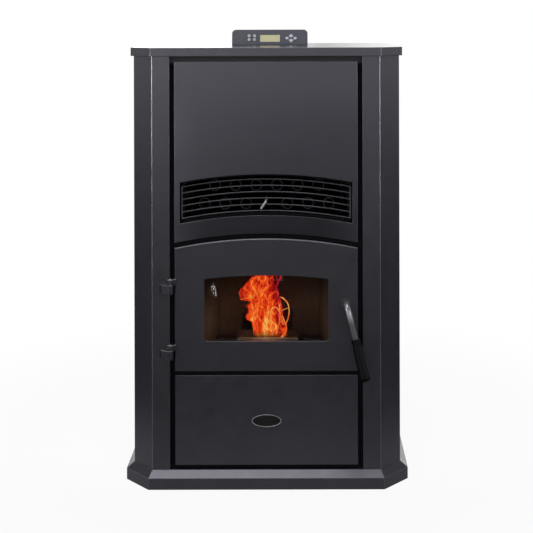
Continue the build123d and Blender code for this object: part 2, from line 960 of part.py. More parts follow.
def igniter():
    """Hot rod behind the pot, flanged to the outside of the firebox."""
    hot_z = firebox_bottom + firebox_wall + igniter_height
    tip = (igniter_x, holder_limits()[1][1] + igniter_gap, hot_z)
    tail = (igniter_x, firebox_rear + igniter_tail, hot_z)
    wall = (igniter_x, firebox_rear, hot_z)
    flange_end = (igniter_x, firebox_rear + igniter_flange, hot_z)
    return rod(tip, tail, igniter_radius) + rod(wall, flange_end, igniter_flange_radius)


def heat_exchanger_tubes():
    start = tube_sheet_y - tube_stick_out
    end = firebox_rear + 6
    return [tube((x, start, z), (x, end, z), tube_radius, tube_wall) for x, z in tube_centres()]


def tube_scraper():
    """Plate round the tubes, on a pull rod with a bent end in front of the grille."""
    back = firebox_rear - firebox_wall - seat_gap
    front = back - scraper_sheet
    half = 2.5 * tube_pitch + tube_pitch / 2 + tube_radius + scraper_margin
    low = lower_row_z - tube_radius - scraper_margin
    high = upper_row_z + tube_radius + scraper_margin / 2
    scraper = plate(rectangle((-half, half), (low, high)), front, scraper_sheet)
    for x, z in tube_centres():
        scraper -= rod((x, front, z), (x, back, z), tube_radius + scraper_gap)
    hook_end = (scraper_hook[0], scraper_hook_y - 2, scraper_rod_z + scraper_hook[1])
    path = FilletPolyline(
        (0, front + 1, scraper_rod_z), (0, scraper_hook_y, scraper_rod_z), hook_end, radius=4
    )
    section = Plane(origin=path @ 0, z_dir=path % 0) * Circle(scraper_rod_radius)
    return scraper + sweep(section, path=path)


def top_shell(keep):
    """Part of the folded top: sheet with its skirt, where the given block keeps it."""
    low = top_height - top_skirt
    outside = plan(top_margin, low, top_height)
    return (outside - plan(top_margin - sheet, low, top_height - top_sheet)) & keep


def knuckle_spans(fixed):
    """X limits of the lid hinge's knuckles, on the lid or on the rear plate."""
    half = lid_knuckle_length / 2
    spans = []
    for x in (-lid_knuckle_x, lid_knuckle_x):
        if fixed:
            spans.append((x - half - half, x - half - lid_side_gap))
            spans.append((x + half + lid_side_gap, x + half + half))
        else:
            spans.append((x - half, x + half))
    return spans


def hinge_knuckles(fixed):
    """Round knuckles of the lid hinge, bored for its pins."""
    knuckles = []
    for low, high in knuckle_spans(fixed):
        start = (low, lid_rear, lid_hinge_z)
        end = (high, lid_rear, lid_hinge_z)
        barrel = rod(start, end, lid_knuckle_radius)
        if fixed:
            tab_y = (lid_rear, rear_plate_front + sheet)
        else:
            tab_y = (lid_rear - 12, lid_rear)
        tab = block((low, high), tab_y, (lid_hinge_z - 3, lid_hinge_z + 1))
        knuckles.append(barrel + tab - rod(start, end, lid_pin_radius + lid_bore_gap))
    return knuckles


def lid_pin_bores():
    bores = []
    for x in (-lid_knuckle_x, lid_knuckle_x):
        start = (x - lid_knuckle_length, lid_rear, lid_hinge_z)
        end = (x + lid_knuckle_length, lid_rear, lid_hinge_z)
        bores.append(rod(start, end, lid_pin_radius + lid_bore_gap))
    return bores


def hopper_lid():
    """Front part of the top, hinged along its rear edge."""
    keep = block((-body_width, body_width), (-body_depth, lid_rear), (0, 2 * top_height))
    lid = top_shell(keep)
    relief = lid_knuckle_radius + lid_hinge_clearance
    for low, high in knuckle_spans(True):
        start = (low - lid_side_gap, lid_rear, lid_hinge_z)
        end = (high + lid_side_gap, lid_rear, lid_hinge_z)
        lid -= rod(start, end, relief)
    for knuckle in hinge_knuckles(False):
        lid += knuckle
    for bore in lid_pin_bores():
        lid -= bore
    return lid


def top_rear_plate():
    """Fixed rear part of the top, with the flange that stands on the hopper deck."""
    keep = block((-body_width, body_width), (rear_plate_front, body_depth), (0, 2 * top_height))
    top = top_shell(keep)
    half = body_width / 2 - base_margin
    flange_y = (rear_plate_front, rear_plate_front + sheet)
    top += block((-half, half), flange_y, (body_top + sheet, top_height))
    for knuckle in hinge_knuckles(True):
        top += knuckle
    for bore in lid_pin_bores():
        top -= bore
    return top


def lid_hinge_pins():
    pins = []
    for x in (-lid_knuckle_x, lid_knuckle_x):
        start = (x - lid_knuckle_length + 1, lid_rear, lid_hinge_z)
        end = (x + lid_knuckle_length - 1, lid_rear, lid_hinge_z)
        pins.append(rod(start, end, lid_pin_radius))
    return pins


def lid_seal():
    """Strip seal under the lid, round the hopper's mouth."""
    low = body_top + sheet + seat_gap
    high = top_height - top_sheet
    inner = (hopper_half_width - seal_inset / 2, hopper_front + seal_inset / 2, hopper_mouth_rear - 8)
    wide = inner[0] + seal_width
    ring = block((-wide, wide), (inner[1] - seal_width, inner[2] + seal_width), (low, high))
    return ring - block((-inner[0], inner[0]), (inner[1], inner[2]), (low, high))


def funnel(grow):
    """Hopper body: upper box, sloping funnel and throat, grown by a wall."""
    half = hopper_half_width - sheet + grow
    front = hopper_front + sheet - grow
    rear = hopper_rear - sheet + grow
    small = throat_half_width - sheet + grow
    throat_y = (throat_front + sheet - grow, rear)
    upper = block((-half, half), (front, rear), (hopper_knee, body_top))
    throat = block((-small, small), throat_y, (throat_bottom, throat_z))
    wide = Pos(0, (front + rear) / 2, hopper_knee) * Rectangle(2 * half, rear - front)
    narrow = Pos(0, (throat_y[0] + rear) / 2, throat_z) * Rectangle(2 * small, rear - throat_y[0])
    return upper + loft([narrow, wide]) + throat


def hopper():
    """Deck sheet that closes the body's top, with the hopper welded under it."""
    deck = plan(0, body_top, body_top + sheet)
    deck -= block(
        (-hopper_half_width + seal_inset, hopper_half_width - seal_inset),
        (hopper_front + seal_inset, hopper_mouth_rear - seal_inset - 4),
        (body_top, body_top + sheet),
    )
    shell = funnel(sheet) - funnel(0)
    low, high = auger_line(0, 1)
    shell -= rod(tuple(low), tuple(high), auger_tube_radius + weld_gap)
    tank = deck + shell
    span = hopper_rear - throat_front
    for i in range(grate_bars):
        y = throat_front + span * (i + 0.5) / grate_bars
        half = throat_half_width + (grate_z - throat_z) * (hopper_half_width - throat_half_width) / (
            hopper_knee - throat_z
        )
        tank += rod((-half + 1, y, grate_z), (half - 1, y, grate_z), grate_bar_radius)
    return tank


def auger_line(start, end):
    """Two points on the auger's axis, as shares of its length."""
    low, high = Vector(*auger_low), Vector(*auger_high)
    return low + (high - low) * start, low + (high - low) * end


def auger_tube():
    """Inclined tube with the inlet under the hopper and the outlet over the chute."""
    low, high = auger_line(0, 1)
    pipe = tube(tuple(low), tuple(high), auger_tube_radius, auger_tube_wall)
    cap = rod(tuple(high), tuple(high + (high - low).normalized() * 4), auger_tube_radius)
    small = throat_half_width - sheet - tube_inlet_inset
    inlet_y = (throat_front + sheet, hopper_rear - sheet)
    middle_z = (low.Z + high.Z) / 2
    inlet_z_limits = (auger_axis_z(throat_front) - tube_inlet_depth, middle_z + tube_inlet_rise)
    pipe -= block((-small, small), inlet_y, inlet_z_limits)
    outlet = block((-18, 18), (high.Y - 30, high.Y + 8), (high.Z - 60, high.Z - 8))
    return pipe - outlet + cap


def auger_axis_z(y):
    """Height of the auger's axis at a depth."""
    share = (y - auger_low[1]) / (auger_high[1] - auger_low[1])
    return auger_low[2] + share * (auger_high[2] - auger_low[2])


def auger():
    """Shaft with its helical flight, driven at the low end."""
    low, high = auger_line(0, 1)
    length = (high - low).length
    place = Plane(origin=low, z_dir=high - low).location
    shaft_length = length + gearbox_length - 10
    shaft = Pos(0, 0, 4 - gearbox_length) * extrude(Circle(auger_shaft_radius), shaft_length)
    run = length - 2 * flight_start
    path = Pos(0, 0, flight_start) * Helix(pitch=flight_pitch, height=run, radius=auger_shaft_radius + 0.5)
    reach = flight_radius - auger_shaft_radius + 1
    section = Plane(origin=path @ 0, x_dir=(1, 0, 0), z_dir=path % 0)
    blade = section * Pos(reach / 2 - 1, 0) * Rectangle(reach, flight_sheet)
    ribbon = sweep(blade, path=path, is_frenet=True)
    return place * (shaft + ribbon)


def auger_gearmotor():
    """Gearbox on the auger tube's low end, with the motor behind it."""
    low, high = auger_line(0, 1)
    length = gearbox_length
    back = Pos(0, 0, -length)
    box = back * extrude(RectangleRounded(gearbox_side, gearbox_side, 6), length - weld_gap)
    bore_radius = auger_shaft_radius + handle_bore_gap
    box -= back * extrude(Circle(bore_radius), length)
    motor = Pos(0, 0, -length - motor_length) * extrude(Circle(motor_radius), motor_length)
    return Plane(origin=low, z_dir=high - low).location * (box + motor)


def pellet_chute():
    """Box that takes pellets from the auger, and the spout into the firebox."""
    half = chute_half_width
    rear_wall = firebox_rear
    knee = chute_bottom + chute_floor_rise
    points = (
        (rear_wall, chute_bottom), (chute_rear, knee), (chute_rear, chute_top), (rear_wall, chute_top),
    )
    inner = (
        (rear_wall, chute_bottom + sheet * 1.4), (chute_rear - sheet, knee + sheet * 0.4),
        (chute_rear - sheet, chute_top - sheet), (rear_wall, chute_top - sheet),
    )
    box = side_prism(shape_of(*points), (-half, half))
    box -= side_prism(shape_of(*inner), (sheet - half, half - sheet))
    low, high = auger_line(0, 1.04)
    box -= rod(tuple(low), tuple(high), auger_tube_radius + weld_gap)
    inside = firebox_rear - firebox_wall
    out = firebox_rear - spout_length
    low_end = chute_bottom + sheet - spout_drop
    base = chute_bottom + sheet + seat_gap
    width = half - sheet - seat_gap
    floor = (
        (rear_wall, base), (inside, base), (out, low_end),
        (out, low_end + sheet), (inside, base + sheet), (rear_wall, base + sheet),
    )
    spout = side_prism(shape_of(*floor), (-width, width))
    cheek = (
        (rear_wall, base), (inside, base), (out, low_end), (out, low_end + spout_lip),
        (inside, base + spout_height - 8), (rear_wall, base + spout_height - 8),
    )
    for x in ((-width, sheet - width), (width - sheet, width)):
        spout += side_prism(shape_of(*cheek), x)
    return box + spout


def wheel(x, y, z, radius, blades, blade_depth):
    """Fan wheel: back disc, hub and straight blades."""
    disc = rod((x[1] - 2, y, z), (x[1], y, z), radius)
    hub = rod((x[0], y, z), (x[1], y, z), 12)
    impeller = disc + hub
    for i in range(blades):
        turn = Pos(0, y, z) * Rot(X=360 * i / blades)
        impeller += turn * block((x[0], x[1] - 1), (-1, 1), (radius - blade_depth, radius))
    return impeller


def exhaust_duct():
    """Box that takes smoke from the firebox's rear wall down to the blower's eye."""
    x = (duct_left, fan_left)
    y = (firebox_rear, duct_rear)
    z = (duct_bottom, duct_top)
    duct = block(x, y, z)
    duct -= block(
        (x[0] + sheet, x[1] - sheet), (y[0] + sheet, y[1] - sheet), (z[0] + sheet, z[1] - sheet)
    )
    duct -= block((duct_left + 6, fan_left - 8), (y[0], y[0] + sheet), duct_port)
    return duct - rod((fan_left - sheet, fan_y, fan_z), (fan_left, fan_y, fan_z), fan_inlet_radius)


def exhaust_blower_housing():
    """Fan case with its tangential outlet towards the rear."""
    x = (fan_left, fan_right)
    z = (fan_z - fan_radius, fan_z - fan_radius + 2 * (outlet_z - fan_z + fan_radius))
    outlet = block(x, (fan_y, adapter_start), z)
    room = block(
        (x[0] + fan_wall, x[1] - fan_wall), (fan_y, adapter_start), (z[0] + fan_wall, z[1] - fan_wall)
    )
    core = rod((x[0] + fan_wall, fan_y, fan_z), (x[1] - fan_wall, fan_y, fan_z), fan_radius - fan_wall)
    case = rod((x[0], fan_y, fan_z), (x[1], fan_y, fan_z), fan_radius) + outlet - core - room
    case -= rod((x[0], fan_y, fan_z), (x[0] + fan_wall, fan_y, fan_z), fan_inlet_radius)
    bore = fan_shaft_radius + seat_gap
    return case - rod((x[1] - fan_wall, fan_y, fan_z), (x[1], fan_y, fan_z), bore)


def exhaust_impeller():
    x = (fan_left + 8, fan_right - 8)
    fan = wheel(x, fan_y, fan_z, exhaust_impeller_radius, fan_blades, fan_blade_depth)
    return fan + rod((x[0], fan_y, fan_z), (fan_right + 20, fan_y, fan_z), fan_shaft_radius)


def exhaust_motor():
    start = (fan_right, fan_y, fan_z)
    end = (fan_right + fan_motor_length, fan_y, fan_z)
    body = rod(start, end, fan_motor_radius)
    return body - rod(start, (fan_right + 22, fan_y, fan_z), fan_shaft_radius + handle_bore_gap)


def outlet_x():
    return (fan_left + fan_right) / 2


def exhaust_outlet():
    """Adapter from the blower's square outlet to the round vent spigot."""
    x = outlet_x()
    low = fan_z - fan_radius
    height = 2 * (outlet_z - low)

    def section(y, shape):
        return Plane(origin=(x, y, outlet_z), x_dir=(1, 0, 0), z_dir=(0, 1, 0)) * shape

    width = fan_right - fan_left
    outer = loft([
        section(adapter_start, Rectangle(width, height)),
        section(adapter_end, Circle(outlet_radius)),
    ])
    inner = loft([
        section(adapter_start, Rectangle(width - 2 * fan_wall, height - 2 * fan_wall)),
        section(adapter_end, Circle(outlet_radius - outlet_wall)),
    ])
    pipe = tube((x, adapter_end, outlet_z), (x, outlet_end, outlet_z), outlet_radius, outlet_wall)
    return (outer - inner) + pipe


def air_intake_pipe():
    start = (intake_x, firebox_rear, intake_z)
    return tube(start, (intake_x, intake_end, intake_z), intake_radius, intake_wall)


def blower_outlet_limits():
    """Y limits of the convection blower's outlet, on the front side of its case."""
    front = blower_y - blower_radius
    return front, front + blower_outlet_width


def convection_blower_housing():
    """Wide fan case with its outlet upwards, on a foot."""
    x = (blower_left, blower_right)
    case = rod((x[0], blower_y, blower_z), (x[1], blower_y, blower_z), blower_radius)
    out_y = blower_outlet_limits()
    case += block(x, out_y, (blower_z, firebox_bottom))
    foot_x = (x[0] + blower_foot_inset, x[1] - blower_foot_inset)
    foot_y = (blower_y - blower_foot_half_depth, blower_y + blower_foot_half_depth)
    case += block(foot_x, foot_y, (floor_top, blower_z - blower_radius + foot_overlap))
    core = (x[0] + fan_wall, x[1] - fan_wall)
    case -= rod((core[0], blower_y, blower_z), (core[1], blower_y, blower_z), blower_radius - fan_wall)
    case -= block(core, (out_y[0] + fan_wall, out_y[1] - fan_wall), (blower_z, firebox_bottom))
    case -= rod((x[0], blower_y, blower_z), (core[0], blower_y, blower_z), blower_inlet_radius)
    bore = fan_shaft_radius + seat_gap
    return case - rod((core[1], blower_y, blower_z), (x[1], blower_y, blower_z), bore)


def convection_impeller():
    x = (blower_left + 8, blower_right - 8)
    fan = wheel(x, blower_y, blower_z, blower_wheel_radius, blower_blades, blower_blade_depth)
    return fan + rod((x[0], blower_y, blower_z), (blower_right + 18, blower_y, blower_z), fan_shaft_radius)


def convection_motor():
    start = (blower_right, blower_y, blower_z)
    end = (blower_right + blower_motor_length, blower_y, blower_z)
    body = rod(start, end, blower_motor_radius)
    return body - rod(start, (blower_right + 20, blower_y, blower_z), fan_shaft_radius + handle_bore_gap)


def convection_duct():
    """Riser from the blower to the plenum over the tubes' rear ends."""
    wall = duct_sheet
    out_y = blower_outlet_limits()
    link_top = firebox_bottom + duct_link_height
    low = block((blower_left, blower_right), out_y, (firebox_bottom, link_top))
    low_room = block(
        (blower_left + wall, blower_right - wall), (out_y[0] + wall, out_y[1] - wall),
        (firebox_bottom, link_top - wall),
    )
    riser = block((riser_left, riser_right), (firebox_rear, riser_rear), (firebox_bottom, plenum_bottom))
    riser_room = block(
        (riser_left + wall, riser_right - wall), (firebox_rear + wall, riser_rear - wall),
        (firebox_bottom + wall, plenum_bottom - wall),
    )
    link_x = (riser_left, riser_right)
    link = block(link_x, (riser_rear - wall, out_y[0] + wall), (firebox_bottom, link_top))
    link_room = block(
        (riser_left + wall, riser_right - wall), (riser_rear - 2 * wall, out_y[0] + 2 * wall),
        (firebox_bottom + wall, link_top - wall),
    )
    half = plenum_half_width
    plenum = block((-half, half), (firebox_rear, plenum_rear), (plenum_bottom, plenum_top))
    room = block(
        (wall - half, half - wall), (firebox_rear, plenum_rear - wall),
        (plenum_bottom + wall, plenum_top - wall),
    )
    throat = block(
        (-half + wall, riser_right - wall), (firebox_rear + wall, plenum_rear - wall),
        (plenum_bottom - wall, plenum_bottom + wall),
    )
    solid = low + riser + link + plenum
    return solid - low_room - riser_room - link_room - room - throat


def rear_panel():
    """Rear sheet with pipe holes, blower vents and the power inlet's cut-out."""
    half = body_width / 2 - sheet - seat_gap
    back = body_rear - sheet
    front = back - sheet
    panel = block((-half, half), (front, back), (floor_top, body_top))
    panel -= rod((outlet_x(), front, outlet_z), (outlet_x(), back, outlet_z), outlet_radius + pipe_gap)
    panel -= rod((intake_x, front, intake_z), (intake_x, back, intake_z), intake_radius + pipe_gap)
    for i in range(vent_slots):
        z = blower_z + (i - (vent_slots - 1) / 2) * vent_slot_pitch
        slot = (z - vent_slot_height / 2, z + vent_slot_height / 2)
        panel -= block((blower_left, blower_right), (front, back), slot)
    half_x, half_z = inlet_body_limits()
    return panel - block(
        (inlet_x - half_x - seat_gap, inlet_x + half_x + seat_gap), (front, back),
        (inlet_z - half_z - seat_gap, inlet_z + half_z + seat_gap),
    )


def inlet_body_limits():
    """Half width and half height of the inlet's body, inside its flange."""
    return inlet_width / 2 - inlet_flange_x, inlet_height / 2 - inlet_flange_z


def rear_panel_screws():
    """Screws along both edges of the rear panel, through the side panels' flanges."""
    x = body_width / 2 - screw_inset
    rise = (body_top - floor_top) / screw_rows
    screws = []
    for side in (-1, 1):
        for i in range(screw_rows):
            z = floor_top + rise * (i + 0.5)
            head = rod((side * x, body_rear, z), (side * x, body_rear + screw_head, z), screw_radius)
            recess = block(
                (side * x - 0.5, side * x + 0.5), (body_rear + screw_head - 1, body_rear + screw_head),
                (z - screw_radius, z + screw_radius),
            )
            screws.append(head - recess)
    return screws


def power_inlet():
    """Appliance inlet with its three blades, set in the rear panel."""
    back = body_rear - sheet
    flange = block(
        (inlet_x - inlet_width / 2, inlet_x + inlet_width / 2), (back, back + inlet_wall),
        (inlet_z - inlet_height / 2, inlet_z + inlet_height / 2),
    )
    half, rise = inlet_body_limits()
    front = back + inlet_wall
    body = block(
        (inlet_x - half, inlet_x + half), (back - inlet_body_depth, back),
        (inlet_z - rise, inlet_z + rise),
    )
    room_x = half - inlet_wall
    room_z = rise - inlet_wall
    well = block(
        (inlet_x - room_x, inlet_x + room_x), (front - inlet_well_depth, front),
        (inlet_z - room_z, inlet_z + room_z),
    )
    socket = flange + body - well
    half_x, half_z = inlet_blade_half
    for x, z in inlet_blade_places:
        socket += block(
            (inlet_x + x - half_x, inlet_x + x + half_x), (back - inlet_blade_depth, back),
            (inlet_z + z - half_z, inlet_z + z + half_z),
        )
    return socket


def console_face():
    """Plane of the console's sloping face, from its lower edge upwards."""
    lean = radians(console_lean)
    origin = (0, console_front + console_lip_step, top_height + console_lip)
    return Plane(origin=origin, x_dir=(1, 0, 0), z_dir=(0, -cos(lean), sin(lean)))


def on_face(shape, out, depth):
    """Shape on the console's face, from a height above it down to a depth."""
    place = console_face()
    return extrude(place.offset(out) * shape, out + depth, dir=-place.z_dir)


def console_profile(shrink):
    """Side outline of the console, moved inwards by a wall."""
    rise = console_height - console_lip
    lean = rise * tan(radians(console_lean))
    front = console_front + shrink
    step = console_front + console_lip_step + shrink
    rear = console_front + console_depth - shrink
    top = top_height + console_height - shrink
    return shape_of(
        (front, top_height), (front, top_height + console_lip), (step, top_height + console_lip),
        (step + lean * (1 - shrink / rise), top), (rear - 6, top), (rear, top_height),
    )


def console_housing():
    """Moulded console with round top corners and openings for display and keys."""
    half = console_half_width
    shell = side_prism(console_profile(0), (-half, half))
    crown = top_height + console_height
    tops = shell.edges().filter_by(Plane.YZ).filter_by(lambda e: e.center().Z > crown - 1)
    shell = fillet(tops, console_corner)
    room = side_prism(console_profile(console_wall), (console_wall - half, half - console_wall))
    shell -= room
    window = Pos(*display_centre) * Rectangle(*display_size)
    shell -= on_face(window, 1, console_wall + 1)
    for centre in key_centres:
        shell -= on_face(Pos(*centre) * Circle(key_radius + key_gap), 1, console_wall + 1)
    for outline in arrow_outlines(key_gap).values():
        shell -= on_face(outline, 1, console_wall + 1)
    return shell - on_face(Pos(*lamp_centre) * Circle(lamp_radius + weld_gap), 1, console_wall + 1)


def arrow_outlines(grow):
    """Four pointed keys round the pad's centre, grown by a gap."""
    outlines = {}
    ways = (("right", 0), ("up", 90), ("left", 180), ("down", 270))
    for name, turn in ways:
        if name in ("left", "right"):
            inner, reach, half = arrow_side_inner, arrow_side_reach, arrow_side_half_width
        else:
            inner, reach, half = arrow_end_inner, arrow_end_reach, arrow_end_half_width
        points = (
            (inner, -half / 2), (inner + half / 2, -half), (reach - half, -half), (reach, 0),
            (reach - half, half), (inner + half / 2, half), (inner, half / 2),
        )
        shape = shape_of(*points)
        if grow:
            shape = offset(shape, grow, kind=Kind.INTERSECTION)
        outlines[name] = Pos(*pad_centre) * Rot(Z=turn) * shape
    return outlines


def key(outline, flange):
    """Key cap through the console's wall, with the flange that keeps it in."""
    cap = on_face(outline, key_stand, console_wall + key_gap)
    back = console_wall + key_gap
    return cap + on_face(flange, -back, back + key_flange_height)


def round_key(centre):
    return key(Pos(*centre) * Circle(key_radius), Pos(*centre) * Circle(key_radius + key_flange))


def display_window():
    """Clear window in the console's opening, on the display module behind it."""
    window = Pos(*display_centre) * Rectangle(display_size[0] - 0.1, display_size[1] - 0.1)
    module = Pos(*display_centre) * Rectangle(display_size[0] + 8, display_size[1] + 5)
    glass = on_face(window, -console_wall + display_glass, console_wall + weld_gap)
    return glass + on_face(module, -console_wall - weld_gap, board_front())


def board_front():
    """Depth of the control board's front behind the console's face."""
    return console_wall + key_gap + key_flange_height + key_travel + 0.2


def control_board():
    """Board behind the keys, with the status lamp that reaches the face."""
    outline = Pos(0, board_middle) * Rectangle(2 * (console_half_width - board_margin), board_height)
    board = on_face(outline, -board_front() - weld_gap, board_front() + board_sheet)
    lamp = on_face(Pos(*lamp_centre) * Circle(lamp_radius), 0, board_front() + board_sheet / 2)
    foot = Pos(0, board_tab / 2) * Rectangle(2 * (console_half_width - board_tab_inset), board_tab)
    tail = on_face(foot, -board_front() - weld_gap, board_front() + board_sheet)
    return board + lamp + tail


def badge_plate():
    """Blank oval plate with a raised rim."""
    outer = Pos(0, badge_z) * Ellipse(badge_half_width, badge_half_height)
    inner = Pos(0, badge_z) * Ellipse(badge_half_width - badge_rim, badge_half_height - badge_rim)
    front = body_front - badge_thickness
    return plate(outer, front, badge_thickness) - plate(inner, front, badge_thickness / 3)


def nodes():
    right = side_panel()
    parts = {
        "base_plinth": base_plinth(),
        "side_panel_right": right,
        "side_panel_left": mirror(right, about=Plane.YZ),
        "rear_panel": rear_panel(),
        "front_frame": front_frame(),
        "top_rear_plate": top_rear_plate(),
        "hopper_lid": hopper_lid(),
        "lid_seal": lid_seal(),
        "lid_hinge_pins": lid_hinge_pins(),
        "hopper": hopper(),
        "front_upper_panel": front_upper_panel(),
        "louvre_grille": louvre_grille(),
        "door_panel": door_panel(),
        "door_glass": door_glass(),
        "glass_clips": glass_clips(),
        "door_rope_seal": door_rope_seal(),
        "door_hinge_lugs": door_hinge_lugs(),
        "door_hinge_brackets": door_hinge_brackets(),
        "door_hinge_pins": door_hinge_pins(),
        "handle_rod": handle_rod(),
        "handle_grip": handle_grip(),
        "handle_washer": handle_washer(),
        "latch_cam": latch_cam(),
        "ash_drawer_front": ash_drawer_front(),
        "ash_pan": ash_pan(),
        "badge_plate": badge_plate(),
        "firebox_stand": firebox_stand(),
        "firebox": firebox(),
        "firebox_liners": firebox_liners(),
        "burn_pot": burn_pot(),
        "igniter": igniter(),
        "heat_exchanger_tubes": heat_exchanger_tubes(),
        "tube_scraper": tube_scraper(),
        "auger_tube": auger_tube(),
        "auger": auger(),
        "auger_gearmotor": auger_gearmotor(),
        "pellet_chute": pellet_chute(),
        "exhaust_duct": exhaust_duct(),
        "exhaust_blower_housing": exhaust_blower_housing(),
        "exhaust_impeller": exhaust_impeller(),
        "exhaust_motor": exhaust_motor(),
        "exhaust_outlet": exhaust_outlet(),
        "air_intake_pipe": air_intake_pipe(),
        "convection_blower_housing": convection_blower_housing(),
        "convection_impeller": convection_impeller(),
        "convection_motor": convection_motor(),
        "convection_duct": convection_duct(),
        "rear_panel_screws": rear_panel_screws(),
        "power_inlet": power_inlet(),
        "console_housing": console_housing(),
        "display_window": display_window(),
        "control_board": control_board(),
    }
    for number, centre in enumerate(key_centres, 1):
        parts[f"round_key_{number}"] = round_key(centre)
    flanges = arrow_outlines(key_flange)
    for name, outline in arrow_outlines(0).items():
        parts[f"arrow_key_{name}"] = key(outline, flanges[name])
    return parts


def main():
    os.makedirs("parts", exist_ok=True)
    for name, shape in nodes().items():
        if isinstance(shape, list):
            shape = Compound(children=shape)
        export_step(shape, f"parts/{name}.step")


main()
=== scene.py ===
import json
import math
import random

import bmesh
import bpy
from mathutils import Matrix, Vector

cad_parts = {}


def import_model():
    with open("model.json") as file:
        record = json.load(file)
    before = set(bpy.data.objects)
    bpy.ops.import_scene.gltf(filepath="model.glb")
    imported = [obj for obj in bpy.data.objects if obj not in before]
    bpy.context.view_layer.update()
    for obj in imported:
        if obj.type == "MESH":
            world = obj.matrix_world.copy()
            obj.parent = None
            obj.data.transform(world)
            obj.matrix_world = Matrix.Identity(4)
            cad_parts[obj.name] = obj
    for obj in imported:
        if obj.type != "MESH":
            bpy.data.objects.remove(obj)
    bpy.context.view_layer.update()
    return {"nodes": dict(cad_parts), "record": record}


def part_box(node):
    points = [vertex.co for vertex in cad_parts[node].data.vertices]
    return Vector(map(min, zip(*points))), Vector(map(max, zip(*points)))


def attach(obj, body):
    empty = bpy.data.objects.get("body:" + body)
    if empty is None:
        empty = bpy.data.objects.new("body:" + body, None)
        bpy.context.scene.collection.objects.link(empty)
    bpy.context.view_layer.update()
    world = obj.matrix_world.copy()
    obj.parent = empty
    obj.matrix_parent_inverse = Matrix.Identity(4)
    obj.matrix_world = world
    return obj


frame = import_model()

nodes = frame["nodes"]
root = "stove"


# ---------------------------------------------------------------- node trees

class Nodes:
    """Short calls that build a node tree. A value is a number, a tuple or the output of another node."""

    def __init__(self, tree, coordinates):
        self.tree = tree
        self.place = self.node("ShaderNodeTexCoord").outputs[coordinates]

    def put(self, value, socket):
        """Link a value to an input, or set it there."""
        if isinstance(value, bpy.types.NodeSocket):
            self.tree.links.new(value, socket)
        elif isinstance(value, tuple) and socket.type == "RGBA":
            socket.default_value = (*value, 1.0)
        else:
            socket.default_value = value

    def node(self, kind, inputs=None, **settings):
        """New node with its settings, and its inputs by name or number."""
        new = self.tree.nodes.new(kind)
        for key, value in settings.items():
            setattr(new, key, value)
        for key, value in (inputs or {}).items():
            self.put(value, new.inputs[key])
        return new

    def math(self, operation, first, second=0.0):
        return self.node("ShaderNodeMath", {0: first, 1: second}, operation=operation).outputs[0]

    def times(self, first, second):
        return self.math("MULTIPLY", first, second)

    def rest(self, share):
        """What a share leaves of one."""
        return self.math("SUBTRACT", 1.0, share)

    def part(self, vector, axis):
        """One axis of a vector."""
        return self.node("ShaderNodeSeparateXYZ", {"Vector": vector}).outputs[axis]

    def dot(self, first, second):
        return self.node("ShaderNodeVectorMath", {0: first, 1: second}, operation="DOT_PRODUCT").outputs["Value"]

    def range(self, value, low, high, to_low=0.0, to_high=1.0):
        """Straight slope between two values, level beyond them."""
        ranged = self.node("ShaderNodeMapRange", {
            "Value": value, "From Min": low, "From Max": high, "To Min": to_low, "To Max": to_high,
        })
        return ranged.outputs["Result"]

    def ramp(self, value, *stops):
        """Colours between stops, each a position with its colour."""
        ramp = self.node("ShaderNodeValToRGB", {"Fac": value})
        elements = ramp.color_ramp.elements
        while len(elements) < len(stops):
            elements.new(0.5)
        for element, (position, colour) in zip(elements, stops):
            element.position = position
            element.color = (*colour, 1.0)
        return ramp.outputs["Color"]

    def mix(self, share, first, second):
        """Colour between two colours."""
        return self.node("ShaderNodeMix", {0: share, 6: first, 7: second}, data_type="RGBA").outputs[2]

    def blend(self, share, first, second):
        """Shader between two shaders."""
        return self.node("ShaderNodeMixShader", {"Fac": share, 1: first, 2: second}).outputs["Shader"]


